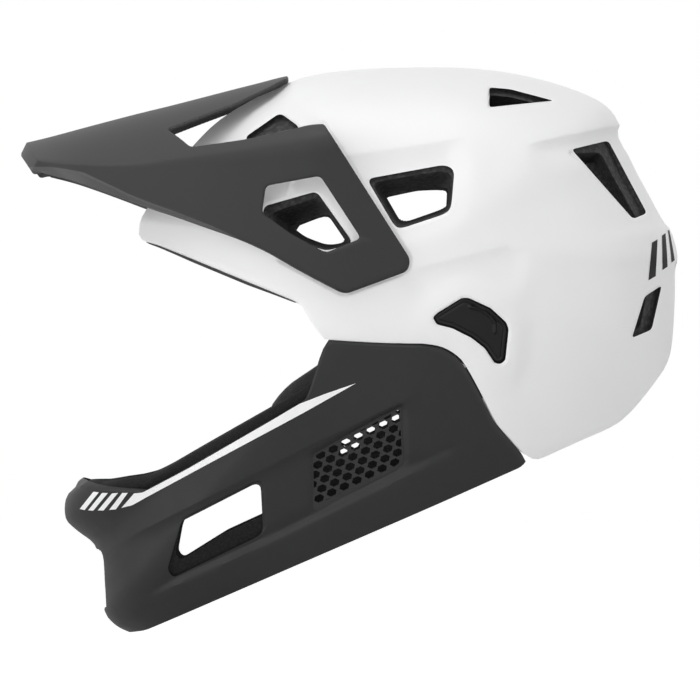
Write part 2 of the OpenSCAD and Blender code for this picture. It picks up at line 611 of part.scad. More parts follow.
// Fit system behind the head: a dial's pinion draws two racks, each with its band, across each other
dial_x = 0.38 * head_length;
dial_z = -63;
pitch_r = tooth_module * pinion_teeth / 2;
tooth_rise = 0.7 * tooth_module;
tooth_drop = 1.1 * tooth_module;
rack_tall = 3;
rack_deep = 3;
rack_outer = 44;
rack_inner = 8;
housing_half = 30;
housing_wall = 2;
housing_tall = 2 * (pitch_r + tooth_drop + rack_tall + rack_gap + housing_wall);
channel_deep = rack_deep + 2 * rack_gap;
module at_dial(x) {
  translate([dial_x + x, 0, dial_z]) rotate([0, 90, 0]) children();
}
module pinion_shape() {
  root = pitch_r - tooth_drop;
  tip = pitch_r + tooth_rise;
  half_tooth = 0.2 * 360 / pinion_teeth;
  circle(r = root, $fn = 48);
  for (i = [0:pinion_teeth - 1]) rotate((i + 0.5) * 360 / pinion_teeth) polygon([
    [0, 0], root * [cos(half_tooth * 1.1), -sin(half_tooth * 1.1)],
    pitch_r * [cos(half_tooth), -sin(half_tooth)], tip * [cos(half_tooth * 0.4), -sin(half_tooth * 0.4)],
    tip * [cos(half_tooth * 0.4), sin(half_tooth * 0.4)], pitch_r * [cos(half_tooth), sin(half_tooth)],
    root * [cos(half_tooth * 1.1), sin(half_tooth * 1.1)]]);
}
grip_notches = 24;
module fit_dial() {
  face = channel_deep + housing_wall + rack_gap;
  color(black) {
    at_dial(rack_gap) linear_extrude(rack_deep) pinion_shape();
    at_dial(rack_gap) cylinder(r = spindle_r, h = face - rack_gap + 1, $fn = 48);
    at_dial(face) difference() {
      cylinder(r = dial_r, h = dial_thick, $fn = 72);
      for (i = [0:grip_notches - 1]) rotate(i * 360 / grip_notches) translate([dial_r + 0.3, 0, -1])
        cylinder(r = 1.1, h = dial_thick + 2, $fn = 16);
      translate([0, 0, dial_thick - 1.5]) cylinder(r = dial_r - 4, h = 3, $fn = 72);
    }
  }
}
hanger_half = 20;
hanger_width = 10;
hanger_top = -12;
module fit_housing() {
  top = dial_z + housing_tall / 2;
  wall_x = cavity([1000, (hanger_half + hanger_width / 2) * 10.5, -10]).x - 0.6;
  color(black) difference() {
    union() {
      translate([dial_x, -housing_half, dial_z - housing_tall / 2])
        cube([channel_deep + housing_wall, 2 * housing_half, housing_tall]);
      for (side = [-1, 1]) translate([0, side * hanger_half + hanger_width / 2, 0]) rotate([90, 0, 0])
        linear_extrude(hanger_width) polygon([[dial_x, top - 1], [dial_x + 5, top - 1], [dial_x + 9, -36],
          [wall_x, -26], [wall_x, hanger_top], [wall_x - 2.4, hanger_top], [wall_x - 2.4, -24], [dial_x + 5, -33]]);
    }
    translate([dial_x - 1, -housing_half - 1, dial_z - housing_tall / 2 + housing_wall])
      cube([channel_deep + 1, 2 * housing_half + 2, housing_tall - 2 * housing_wall]);
    at_dial(0) cylinder(r = spindle_r + 0.08, h = 20, $fn = 48);
  }
}
module fit_cover() {
  color(black) translate([dial_x - housing_wall, -housing_half, dial_z - housing_tall / 2])
    cube([housing_wall, 2 * housing_half, housing_tall]);
}
BAND = concat([[dial_x + 1.8, -rack_outer + 3, dial_z], [dial_x + 0.8, -rack_outer - 1, dial_z]],
  by_head([[70, -52.5, -61], [58, -59.5, -56], [42, -66, -50], [20, -71.5, -41], [-10, -73, -33],
    [-38, -67.5, -26]]));
band_width = 13;
band_thick = 1.4;
// A toothed rack on the wearer's left; teeth points up or down towards the pinion
module rack(teeth) {
  pitch = PI * tooth_module;
  base = pitch_r + tooth_drop;
  translate([dial_x + rack_gap, 0, dial_z]) rotate([90, 0, 90]) linear_extrude(rack_deep)
    scale([1, teeth]) union() {
      translate([-rack_outer, base]) square([rack_outer + rack_inner, rack_tall]);
      for (i = [-4:1]) translate([i * pitch, 0]) polygon([[-0.42 * pitch, base + 0.5], [-0.36 * pitch, base],
        [-0.2 * pitch, pitch_r], [-0.1 * pitch, pitch_r - tooth_rise], [0.1 * pitch, pitch_r - tooth_rise],
        [0.2 * pitch, pitch_r], [0.36 * pitch, base], [0.42 * pitch, base + 0.5]]);
      translate([-rack_outer, -band_width / 2]) square([5, base + rack_tall + band_width / 2]);
    }
}
// The right band's rack rides above the pinion and the left band's below it
module fit_band(side) {
  color(black) mirrored(side) {
    rack(side);
    ribbon(BAND, [for (p = BAND) [0, 0, 1]], band_width, band_thick);
  }
}
// A flat strip through points, with the way its width points at each
module ribbon(points, across, width, thick) {
  last = len(points) - 1;
  function run(i) = let (d = points[min(i + 1, last)] - points[max(i - 1, 0)]) d / norm(d);
  function wide(i) = let (w = across[i] - (across[i] * run(i)) * run(i)) w / norm(w);
  function row(i, level) = let (n = cross(run(i), wide(i)))
    [points[i] - wide(i) * width / 2 + n * level, points[i] + wide(i) * width / 2 + n * level];
  wall([for (i = [0:last]) row(i, thick / 2)], [for (i = [0:last]) row(i, -thick / 2)]);
}

// Chin straps: two legs a side from the foam to a divider, then one strap down to the buckle
REAR_LEG = concat(by_head([[52, -65.9, -24], [43, -69.7, -48]]),
  by_body([[28, -74, -68], [11.6, -70.4, -80], [11, -70, -85.5]]));
FRONT_LEG = concat(by_head([[2, -77.4, -18], [8, -77.1, -45]]),
  by_body([[8, -76, -68], [5.2, -72.8, -80], [5, -72.3, -85.5]]));
divider_at = by_body([[7, -71, -92]])[0];
divider_size = [20, 4.4, 12];
buckle_at = by_body([[-42, 0, -139]])[0];
socket_from = -6;
socket_size = [24, 30, 9];
tongue_size = [21, 12, 8];
prong_long = buckle_travel - 2;
LOWER_STRAP = by_body([[7, -70.8, -98.7], [6.7, -70.4, -102], [1, -67.5, -108], [-9, -62.5, -117],
  [-23, -50, -128], [-35, -34, -136]]);
module strap(side, end_y) {
  color(black) mirrored(side) {
    ribbon(REAR_LEG, [[1, 0.49, 0.3], [1, 0.37, 0.4], [1, 0.22, 0.4], [1, 0.1, 0], [1, 0.05, 0]], strap_width,
      strap_thick);
    ribbon(FRONT_LEG, [for (p = FRONT_LEG) [1, 0.05, 0]], strap_width, strap_thick);
    ribbon(concat(LOWER_STRAP, [[buckle_at.x, end_y - 5, buckle_at.z], [buckle_at.x, end_y, buckle_at.z]]),
      [for (i = [0:7]) [1, 0, i < 2 ? 0 : 0.1]], strap_width, strap_thick);
  }
}
module strap_dividers() {
  color(black) for (side = [-1, 1]) mirrored(side) translate(divider_at) difference() {
    cube(divider_size, center = true);
    for (end = [-1, 1]) translate([end * divider_size.x * 0.36, 0, 0])
      cube([1.2, divider_size.y + 1, divider_size.z - 4], center = true);
  }
}
anchor_r = 6.5;
module strap_anchors() {
  lift = strap_thick / 2 + 0.1;
  color(black) for (side = [-1, 1]) mirrored(side) {
    translate(FRONT_LEG[0] + [1.2, lift + 0.4, -8]) rotate([-90, 0, 0]) cylinder(r = anchor_r, h = 1.6, $fn = 36);
    translate(REAR_LEG[0] + [-2, -0.9, -7]) rotate([0, 0, 26]) translate([0, lift, 0])
      rotate([-90, 0, 0]) cylinder(r = anchor_r, h = 1.6, $fn = 36);
  }
}
module buckle_socket() {
  color(black) translate(buckle_at) difference() {
    translate([-socket_size.x / 2, socket_from, -socket_size.z / 2]) cube(socket_size);
    translate([-9, socket_from - 1, -2.6]) cube([18, prong_long + 5, 5.2]);
    for (end = [-1, 1]) translate([end * 12 - 2.5, socket_from + 7, -2.6]) cube([5, 10, 5.2]);
  }
}
module buckle_tongue() {
  root_y = socket_from - 0.4;
  color(black) translate(buckle_at) {
    difference() {
      translate([-tongue_size.x / 2, root_y - tongue_size.y, -tongue_size.z / 2]) cube(tongue_size);
      translate([-8.5, root_y - 6, -5]) cube([17, 2.4, 10]);
    }
    for (x = [-6.5, 0, 6.5]) translate([x - 1.7, root_y - 0.5, -2])
      cube([3.4, x == 0 ? prong_long - 3 : prong_long, 4]);
  }
}

outer_shell();
edge_trim();
foam_liner();
brow_pad();
crown_pads();
visor();
visor_pins();
visor_bushes();
chin_guard();
chin_foam();
side_mesh(-1);  // side_mesh_left
side_mesh(1);  // side_mesh_right
front_mesh();
cheek_pad(-1);  // cheek_pad_left
cheek_pad(1);  // cheek_pad_right
hook(-1);  // hook_left
hook(1);  // hook_right
latch(-1);  // latch_left
latch(1);  // latch_right
release_button(-1);  // release_button_left
release_button(1);  // release_button_right
button_spring(-1);  // button_spring_left
button_spring(1);  // button_spring_right
fit_housing();
fit_cover();
fit_dial();
fit_band(-1);  // fit_band_left
fit_band(1);  // fit_band_right
strap(-1, socket_from - 0.4 - tongue_size.y - 0.1);  // strap_left
strap(1, -socket_from - socket_size.y - 0.1);  // strap_right
strap_anchors();
strap_dividers();
buckle_socket();
buckle_tongue();
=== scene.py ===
from contextlib import contextmanager
import math

import bmesh
import bpy
import numpy as np
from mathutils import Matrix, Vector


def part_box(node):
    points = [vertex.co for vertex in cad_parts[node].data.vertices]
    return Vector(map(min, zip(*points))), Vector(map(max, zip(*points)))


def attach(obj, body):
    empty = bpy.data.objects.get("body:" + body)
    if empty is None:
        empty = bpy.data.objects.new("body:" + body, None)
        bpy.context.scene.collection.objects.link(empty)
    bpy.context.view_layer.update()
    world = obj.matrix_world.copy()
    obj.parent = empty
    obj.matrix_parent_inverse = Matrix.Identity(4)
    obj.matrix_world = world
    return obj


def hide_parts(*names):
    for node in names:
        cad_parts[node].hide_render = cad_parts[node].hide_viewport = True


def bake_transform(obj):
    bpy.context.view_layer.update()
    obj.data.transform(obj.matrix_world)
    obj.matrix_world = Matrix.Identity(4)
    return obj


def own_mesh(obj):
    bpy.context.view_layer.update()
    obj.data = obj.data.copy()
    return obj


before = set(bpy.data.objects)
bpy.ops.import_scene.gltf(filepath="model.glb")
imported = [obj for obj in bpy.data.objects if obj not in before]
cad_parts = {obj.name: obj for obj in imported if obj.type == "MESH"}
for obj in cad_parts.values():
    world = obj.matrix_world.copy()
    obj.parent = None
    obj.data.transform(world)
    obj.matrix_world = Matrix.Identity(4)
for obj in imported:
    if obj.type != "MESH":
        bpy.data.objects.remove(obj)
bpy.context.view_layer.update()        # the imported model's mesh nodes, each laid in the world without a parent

scene = bpy.context.scene

# Studio
# Side view at the height of the helmet's middle, with a long lens: 0.52 mm to a pixel of a 700 px frame.
# A white room: the sky is white where it is seen, and softer where it lights the helmet.
scene.view_settings.view_transform = "Standard"
camera_far, near_side, frame_wide = 7.0, 0.05, 0.364
film_wide = 36
floor_level, floor_half, floor_glow = -0.25, 9, 0.6
lit_sky, seen_sky = 0.4, 1.0
white = (1, 1, 1, 1)


def linked(name, data):
    """A new object in the scene."""
    made = bpy.data.objects.new(name, data)
    scene.collection.objects.link(made)
    return made


def feed(node, inputs):
    """Sets a node's inputs, by name or number, to values, or links them to other nodes' outputs."""
    for key, value in inputs.items():
        if isinstance(value, bpy.types.NodeSocket):
            node.id_data.links.new(value, node.inputs[key])
        else:
            node.inputs[key].default_value = value
    return node


def add_node(tree, kind, inputs):
    """A new node of a kind, with some inputs set or linked."""
    return feed(tree.nodes.new(kind), inputs)


def maths(tree, operation, *values):
    """The output of a new node that does one sum."""
    step = tree.nodes.new("ShaderNodeMath")
    step.operation = operation
    return feed(step, dict(enumerate(values))).outputs[0]


def finish(name, inputs):
    """A new material, its surface with some inputs set, and the place that its textures follow."""
    material = bpy.data.materials.new(name)
    material.use_nodes = True
    tree = material.node_tree
    surface = feed(tree.nodes["Principled BSDF"], inputs)
    return material, surface, tree.nodes.new("ShaderNodeTexCoord").outputs["Object"]


def softbox(name, place, aim, size, watts, shadow=True):
    """A square lamp; one without shadow only fills."""
    lamp = linked(name, bpy.data.lights.new(name, "AREA"))
    lamp.data.shape = "SQUARE"
    lamp.data.size = size
    lamp.data.energy = watts
    lamp.data.use_shadow = shadow
    lamp.location = place
    x, y, z = np.array(aim, float) - np.array(place, float)
    lamp.rotation_euler = (math.atan2(math.hypot(x, y), -z), 0, math.atan2(-x, y))


camera = linked("camera", bpy.data.cameras.new("camera"))
camera.location = (-0.0312, -camera_far, -0.0442)
camera.rotation_euler = (math.radians(90), 0, 0)
camera.data.sensor_fit = "HORIZONTAL"
camera.data.sensor_width = film_wide
camera.data.lens = film_wide * (camera_far - near_side) / frame_wide
camera.data.clip_end = 60
scene.camera = camera

room = bpy.data.worlds.new("white_room")
scene.world = room
room.use_nodes = True
room_tree = room.node_tree
room_tree.nodes.clear()
rays = room_tree.nodes.new("ShaderNodeLightPath")
seen = maths(room_tree, "MAXIMUM", rays.outputs["Is Camera Ray"], rays.outputs["Is Glossy Ray"])
seen = maths(room_tree, "MAXIMUM", seen, rays.outputs["Is Transmission Ray"])
skies = [add_node(room_tree, "ShaderNodeBackground", {"Color": white, "Strength": strength}).outputs[0]
         for strength in (lit_sky, seen_sky)]
sky_choice = add_node(room_tree, "ShaderNodeMixShader", {0: seen, 1: skies[0], 2: skies[1]})
add_node(room_tree, "ShaderNodeOutputWorld", {0: sky_choice.outputs[0]})

softbox("top_box", (-0.4, -0.4, 2.2), (0, 0, 0), 1.5, 20)
softbox("fill_box", (-1.4, -2.6, 1.3), (0, 0, -0.05), 2.2, 22, shadow=False)
softbox("brow_box", (-2.6, -1.3, -0.1), (0, 0, -0.05), 1.5, 20, shadow=False)
softbox("nape_box", (2.4, -1.3, 0.4), (0, 0, -0.05), 1.5, 9, shadow=False)

FLOOR_PLAN = [(-floor_half, -floor_half), (floor_half, -floor_half),
              (floor_half, floor_half), (-floor_half, floor_half)]
floor_mesh = bpy.data.meshes.new("studio_floor")
floor_mesh.from_pydata([(x, y, floor_level) for x, y in FLOOR_PLAN], [], [(0, 1, 2, 3)])
studio_floor = linked("studio_floor", floor_mesh)
floor_paint, surface = finish("floor_paint", {
    "Base Color": (0.93, 0.93, 0.93, 1),
    "Roughness": 0.9,
    "Specular IOR Level": 0.1,
    "Emission Color": white,
})[:2]
# The floor glows a little where the camera sees it, and so ends as white as the sky
floor_rays = add_node(surface.id_data, "ShaderNodeLightPath", {})
glow = maths(surface.id_data, "MULTIPLY", floor_rays.outputs["Is Camera Ray"], floor_glow)
feed(surface, {"Emission Strength": glow})
floor_mesh.materials.append(floor_paint)

# Outer shell
# A thin pressed polycarbonate skin, painted satin white, moulded onto the foam below it.
# Its form is the side outline with squarish cross sections.
# Creases and the visor's seat are pressed in, and the vents are cut through it.
body_half = 107.0
fullness = 2.4
shell_wall = 3.0
# Outlines and measures are in millimetres, and the scene is in metres
mm, in_mm = 0.001, 1000
sharp_angle = 38
BODY = [
    (0, -188), (-55, -198), (-112, -199), (-145.5, -192.4), (-158.2, -184), (-160.6, -172.5),
    (-162.4, -156.4), (-165, -146), (-174, -138.8), (-180.2, -132), (-179.6, -120.4), (-173.2, -112.2),
    (-165, -70), (-152, -25), (-142.2, 18.6), (-138, 29), (-126, 47), (-113.5, 62.5), (-99, 76.5),
    (-78, 89), (-55, 98.5), (-30, 102.3), (0, 103.6), (30, 103.3), (55, 100.3), (80, 94), (101, 85),
    (110, 73.5), (116, 54.5), (125.4, 36.6), (132.6, 23.4), (136.6, 18.6), (139.8, 8), (140.2, 2.6),
    (139, -2), (138.8, -18), (137.3, -41), (134, -53), (124, -72), (103, -106), (75, -132), (40, -160),
    (0, -188),
]
PORT = [(-142.2, 18.6), (-140.8, 14), (-137.6, 11.9), (-130, 9.5), (-115, 3.5), (-100, -2.7), (-85, -8.9),
        (-72, -14.2), (-60.5, -19), (-56.5, -21.5), (-51, -30.5)]
SEAM = [(-45, -38.5), (-30, -39.6), (-15, -40.5), (-2, -41), (8, -41.2), (17, -43), (25, -48),
        (30, -54.8), (37, -67.6), (44.5, -82), (51, -89.6), (58.5, -98)]
NAPE = [(62.5, -100.6), (67, -101.4), (78, -96.7), (90, -91.4), (104, -85.4), (111.5, -80.8),
        (118, -74), (124, -66.5), (130, -58.5), (134, -53)]


def smooth_path(path, steps):
    """A smooth curve through the points of a path, with so many steps between two points."""
    spots = np.array(path, float)
    last = len(spots) - 1
    out = []
    for i in range(last):
        a, b, c, d = spots[max(i - 1, 0)], spots[i], spots[i + 1], spots[min(i + 2, last)]
        for k in range(steps):
            t = k / steps
            out.append(0.5 * (2 * b + (c - a) * t + (2 * a - 5 * b + 4 * c - d) * t ** 2
                              + (3 * b - 3 * c + d - a) * t ** 3))
    return np.array(out + [spots[last]])


def bearing(p):
    """Each point's angle round the origin in the side view, from -90 at the bottom over the nose to 270."""
    angle = np.degrees(np.arctan2(p[:, 1], -p[:, 0]))
    return np.where(angle < -90, angle + 360, angle)


def along(path, t):
    """The spots at shares t of a path's length."""
    spots = np.array(path, float)
    marks = np.concatenate([[0], np.cumsum(np.linalg.norm(np.diff(spots, axis=0), axis=1))])
    marks /= marks[-1]
    return np.stack([np.interp(t, marks, spots[:, k]) for k in range(spots.shape[1])], axis=-1)


body_line = smooth_path(BODY, 3)
line_bearing, line_reach = bearing(body_line), np.linalg.norm(body_line, axis=1)
line_bearing[0], line_bearing[-1] = -90, 270


def reach(p):
    """How far the body's outline is from the origin in the direction of each point."""
    return np.interp(bearing(p), line_bearing, line_reach)


def half_at(p):
    """Half the body's width at each point of the side view."""
    share = np.minimum(1, np.linalg.norm(p, axis=1) / reach(p))
    return body_half * (1 - share ** fullness) ** (1 / fullness)


def skin(p, side, depth):
    """Where side-view points lie on the body's surface, on one side and sunk by a depth."""
    inward = 1 - depth / reach(p)
    out = side * half_at(p) * (1 - depth / body_half)
    return np.stack([p[:, 0] * inward, out, p[:, 1] * inward], axis=-1)


def ease(x):
    """A soft step from 0 to 1."""
    x = np.clip(x, 0, 1)
    return x * x * (3 - 2 * x)


def edge_distance(p, outline):
    """How far each point is outside an outline; less than 0 inside it."""
    a = np.array(outline, float)
    b = np.roll(a, -1, 0)
    d = b - a
    w = p[:, None, :] - a
    t = np.clip((w * d).sum(-1) / np.maximum((d * d).sum(-1), 1e-9), 0, 1)
    gap = np.linalg.norm(w - t[..., None] * d, axis=-1).min(1)
    x, z = p[:, 0, None], p[:, 1, None]
    rise = np.where(np.abs(b[:, 1] - a[:, 1]) < 1e-9, 1e-9, b[:, 1] - a[:, 1])
    crossed = ((a[:, 1] > z) != (b[:, 1] > z)) & (x < d[:, 0] * (z - a[:, 1]) / rise + a[:, 0])
    return np.where(crossed.sum(1) % 2 == 1, -gap, gap)


def rounded(outline, radius, steps=5):
    """An outline with its corners rounded."""
    spots = np.array(outline, float)
    out = []
    for i, corner in enumerate(spots):
        before, after = spots[i - 1] - corner, spots[(i + 1) % len(spots)] - corner
        start = corner + before * min(0.45, radius / np.linalg.norm(before))
        end = corner + after * min(0.45, radius / np.linalg.norm(after))
        for k in range(steps + 1):
            t = k / steps
            out.append(start * (1 - t) ** 2 + 2 * corner * t * (1 - t) + end * t ** 2)
    return np.array(out)


def beside(p, path):
    """How far below a path each point is, where along the path, and the path's whole length."""
    a = np.array(path, float)
    d = np.diff(a, axis=0)
    long = np.linalg.norm(d, axis=1)
    run = np.concatenate([[0], np.cumsum(long)])
    w = p[:, None, :] - a[:-1]
    t = (w * d).sum(-1) / long ** 2
    gap = np.linalg.norm(w - np.clip(t, 0, 1)[..., None] * d, axis=-1)
    k = gap.argmin(1)
    row = np.arange(len(p))
    below = np.sign(d[k, 1] * w[row, k, 0] - d[k, 0] * w[row, k, 1]) * gap[row, k]
    return below, run[k] + np.clip(t[row, k], 0, 1) * long[k], run[-1]


def crease(p, path, depth, width, fall, fade_in, fade_out):
    """A pressed line: sharp along the path, sunk below it over the width, and rising back over the fall."""
    below, place, whole = beside(p, path)
    sunk = np.clip(below / width, 0, 1)
    back = 1 - ease((below - width) / fall) if fall else 1
    return depth * sunk * (2 - sunk) * back * ease(place / fade_in) * ease((whole - place) / fade_out)


def lip(gap, radius):
    """How deep an edge with a round lip is sunk at a distance from the edge."""
    x = np.clip(1 - gap / radius, 0, 1)
    return radius * (1 - np.sqrt(np.maximum(0, 1 - x * x)))


@contextmanager
def edited(mesh):
    """The mesh opened for editing, and written back afterwards."""
    bm = bmesh.new()
    bm.from_mesh(mesh)
    yield bm
    bm.to_mesh(mesh)
    bm.free()


def shade(bm, sharp):
    """Smooth faces, with the edges above an angle left sharp."""
    for face in bm.faces:
        face.smooth = True
    for edge in bm.edges:
        edge.smooth = len(edge.link_faces) == 2 and edge.calc_face_angle(0) < math.radians(sharp)


def clean_edges(piece, sharp=sharp_angle):
    """Merges doubles, turns faces outwards and marks sharp edges."""
    with edited(piece.data) as bm:
        bmesh.ops.remove_doubles(bm, verts=bm.verts, dist=2e-6)
        bmesh.ops.dissolve_degenerate(bm, edges=bm.edges, dist=1e-7)
        bmesh.ops.recalc_face_normals(bm, faces=bm.faces)
        shade(bm, sharp)


def mesh_piece(name, points, faces, materials, marks=None, sharp=sharp_angle):
    """A piece from points in millimetres, with clean edges."""
    mesh = bpy.data.meshes.new(name)
    mesh.from_pydata(np.asarray(points, float) * mm, [], faces)
    if marks is not None:
        mesh.polygons.foreach_set("material_index", marks)
    for material in materials:
        mesh.materials.append(material)
    piece = linked(name, mesh)
    clean_edges(piece, sharp)
    return piece


def walled(us, vs, outer, inner, near, levels):
    """A closed wall over a grid of two measures; the grid is finer near the outlines."""
    bm = bmesh.new()
    grid = [[bm.verts.new((u, v, 0)) for v in vs] for u in us]
    for i in range(len(us) - 1):
        for j in range(len(vs) - 1):
            bm.faces.new((grid[i][j], grid[i + 1][j], grid[i + 1][j + 1], grid[i][j + 1]))
    for distance in levels:
        bm.faces.ensure_lookup_table()
        middles = np.array([f.calc_center_median()[:2] for f in bm.faces])
        close = near(middles) < distance
        edges = {e for f, c in zip(bm.faces, close) if c for e in f.edges if len(e.link_faces) == 2}
        bmesh.ops.subdivide_edges(bm, edges=list(edges), cuts=1, use_grid_fill=True)
    bmesh.ops.triangulate(bm, faces=[f for f in bm.faces if len(f.verts) > 4])
    bm.verts.index_update()
    measures = np.array([v.co[:2] for v in bm.verts])
    count = len(measures)
    faces = [[v.index for v in f.verts] for f in bm.faces]
    rims = [(loop.vert.index, loop.link_loop_next.vert.index) for f in bm.faces for loop in f.loops
            if loop.edge.is_boundary]
    bm.free()
    faces = (faces + [[k + count for k in reversed(f)] for f in faces]
             + [[b, a, a + count, b + count] for a, b in rims])
    return np.vstack([outer(measures), inner(measures)]), faces


def drum(first, last):
    """A closed body between two outlines with as many points each."""
    n = len(first)
    faces = [list(range(n)), list(range(2 * n - 1, n - 1, -1))]
    faces += [[i, i + n, (i + 1) % n + n, (i + 1) % n] for i in range(n)]
    return np.vstack([first, last]), faces


def prism(outline, far, near, side, inside=None):
    """A cutter through one side of the helmet, narrowing to the inside outline if there is one."""
    turns = np.linspace(0, 1, 61)[:-1]
    ends = []
    for path, y in ((outline, far), (outline if inside is None else inside, near)):
        spots = np.array(path, float)
        if inside is not None:
            spots = along(np.vstack([spots, spots[:1]]), turns)
        ends.append(np.insert(spots, 1, side * y, axis=1))
    return drum(*ends)


def joined(parts):
    """The points and faces of several bodies in one list of each."""
    points, faces = [], []
    for spots, rings in parts:
        faces += [[k + len(points) for k in ring] for ring in rings]
        points += list(spots)
    return points, faces


def settle(piece):
    """Keeps what a piece's modifiers make as its own mesh."""
    done = bpy.data.meshes.new_from_object(piece.evaluated_get(bpy.context.evaluated_depsgraph_get()))
    done.name = piece.name
    piece.modifiers.clear()
    piece.data = done


def cut_by(piece, cutter, operation, sharp=sharp_angle):
    """Runs a Boolean of a piece with a cutter, which is used up."""
    cut = piece.modifiers.new("cut", "BOOLEAN")
    cut.operation = operation
    cut.solver = "MANIFOLD"
    cut.object = cutter
    settle(piece)
    bpy.data.objects.remove(cutter)
    clean_edges(piece, sharp)


def carve(piece, cutters, mark=0):
    """Cuts the cutters out of a piece; the cut faces take the material of the given mark."""
    points, faces = joined(cutters)
    cutter = mesh_piece(piece.name + "_cutter", points, faces, piece.data.materials, [mark] * len(faces))
    cut_by(piece, cutter, "DIFFERENCE")
    print(piece.name, "has", len(piece.data.polygons), "faces after carving")


def speckle(place, scale, detail=2.0):
    grain = add_node(place.id_data, "ShaderNodeTexNoise", {"Scale": scale, "Detail": detail, "Vector": place})
    return grain.outputs["Fac"]


def cells_at(place, scale):
    cells = add_node(place.id_data, "ShaderNodeTexVoronoi", {"Scale": scale, "Vector": place})
    return cells.outputs["Distance"]


def two_tones(driver, low, high, start=0.3, stop=0.7):
    """A colour between two tones, each given as its grey and its blue."""
    tones = add_node(driver.id_data, "ShaderNodeValToRGB", {"Fac": driver})
    for k, position, (grey, blue) in ((0, start, low), (1, stop, high)):
        tones.color_ramp.elements[k].position = position
        tones.color_ramp.elements[k].color = (grey, grey, blue, 1)
    return tones.outputs["Color"]


def raised(surface, height, strength, distance):
    """Gives a surface a fine relief."""
    bump = add_node(surface.id_data, "ShaderNodeBump",
                    {"Strength": strength, "Distance": distance, "Height": height})
    feed(surface, {"Normal": bump.outputs["Normal"]})


def cloudy(name, roughness, low, high, cloud, patches=None, grain=None, more={}):
    """A material in two cloudy tones.

    Cloud is the scale and detail of the clouds, patches a scale and the two roughnesses it changes
    between, grain the scale, detail, strength and height of a relief, and more its other inputs."""
    material, surface, place = finish(name, {"Roughness": roughness, **more})
    feed(surface, {"Base Color": two_tones(speckle(place, *cloud), low, high)})
    if patches:
        span = add_node(place.id_data, "ShaderNodeMapRange",
                        {"To Min": patches[1], "To Max": patches[2], "Value": speckle(place, patches[0])})
        feed(surface, {"Roughness": span.outputs["Result"]})
    if grain:
        raised(surface, speckle(place, *grain[:2]), *grain[2:])
    return material


def beaded(name, scale, low, high, strength, more={}):
    """A foam of welded beads with a dent between them; each bead is painted lighter in its middle and darker
    towards the dents, a painted shade that follows the relief.
    """
    material, surface, place = finish(name, {"Roughness": 0.85, **more})
    cells = cells_at(place, scale)
    # Painted shade: the colour darkens from each bead's middle into the dents between beads
    feed(surface, {"Base Color": two_tones(cells, low, high, 0.15, 0.7)})
    raised(surface, cells, *strength)
    return material


white_paint = cloudy("white_paint", 0.42, (0.86, 0.865), (0.90, 0.905), (9, 3), (60, 0.36, 0.5),
                     (700, 2, 0.06, 0.0004))
bead_foam = beaded("bead_foam", 400, (0.052, 0.053), (0.018, 0.018), (0.35, -0.0005))

FRONT_WINDOW = rounded([(-76, 30), (-48.5, 37.8), (-30.3, 12.2), (-31.8, 10.2), (-43, 7), (-61, 12),
                        (-76, 19)], 3)
REAR_WINDOW = rounded([(-22.6, 44.2), (17.8, 51.6), (22.8, 48.8), (21.0, 29.0), (17.8, 26.0), (-5, 18.4),
                       (-8.4, 19.9)], 4)
ROOF_VENT = rounded([(41, 81.6), (41.2, 92.3), (52, 91.4), (74.5, 85.4)], 1.6)
BACK_VENT = rounded([(83.6, 59.8), (103.2, 64.8), (123.4, 27), (115.8, 23.8)], 2.2)
NAPE_VENT = rounded([(131, -10.6), (121.8, -16.4), (115, -38), (125.6, -33.6)], 2)
BROW_VENT = rounded([(-86, 66), (-67.5, 79), (-57, 71), (-62, 60), (-78, 56)], 3)
VISOR_SEAT = rounded([(-45.4, 76.5), (1.6, 3.6), (0.8, -3.6), (-4, -6.2), (-34.6, -17.2), (-58, -4.6),
                      (-70, 1.6), (-66, 24), (-58, 60)], 3)
BUTTON = [(11.5, -27.5), (13.5, -25.3), (26.5, -17.3), (30, -17.3), (41.5, -22.6), (49.5, -30),
          (50.7, -33.5), (49, -49.5), (46.5, -51.5), (43.5, -51), (38.5, -43.5), (31.5, -38), (21.5, -33),
          (13.5, -31)]
BUTTON_HOLE = rounded(BUTTON, 1.2, 3)
SHELL_HOLES = [FRONT_WINDOW, REAR_WINDOW, ROOF_VENT, BACK_VENT, NAPE_VENT, BROW_VENT, BUTTON_HOLE]
crown_line = body_line[(line_bearing >= bearing(np.array(PORT[:1], float))[0] - 0.01)
                       & (line_bearing <= bearing(np.array(NAPE[-1:], float))[0] + 0.01)]
shell_edge = np.vstack([smooth_path(PORT, 4), smooth_path(SEAM, 4), smooth_path(NAPE, 4)])


def shell_place(measures, inset=0.0):
    """Where the shell's measures lie in the side view, and how far that is from its lower edge."""
    edge = along(shell_edge, measures[:, 0])
    crown = along(crown_line, measures[:, 0])
    span = np.maximum(np.linalg.norm(edge - crown, axis=1), 0.01)
    share = (1 - inset / span) * (1 - np.cos(np.abs(measures[:, 1]) * math.pi / 2))
    return crown + (edge - crown) * share[:, None], np.linalg.norm(edge - crown, axis=1) * (1 - share)


# Each crease: its path, how deep and wide it is, how it rises back, and how it fades in and out
SHELL_CREASES = [
    ([(-62, 52), (-33, 56.5), (0, 61), (31, 66)], 2.2, 8, 26, 12, 14),
    ([(58, 61), (69, 64.3), (90, 68.6), (114, 74)], 3.0, 3.4, 17, 16, 1),
    ([(-8, -5), (20, 2), (50, 9.8), (64, 6.5)], 1.7, 6, 24, 14, 10),
    ([(-68, 99), (-47, 75), (-40, 60)], 0.9, 7, 20, 4, 10),
    ([(51.5, -74), (55.5, -46), (57, -31), (50, -18)], 0.9, 7, 24, 16, 8),
]


window_sink, seat_sink, button_swell = 1.3, 0.9, 1.3


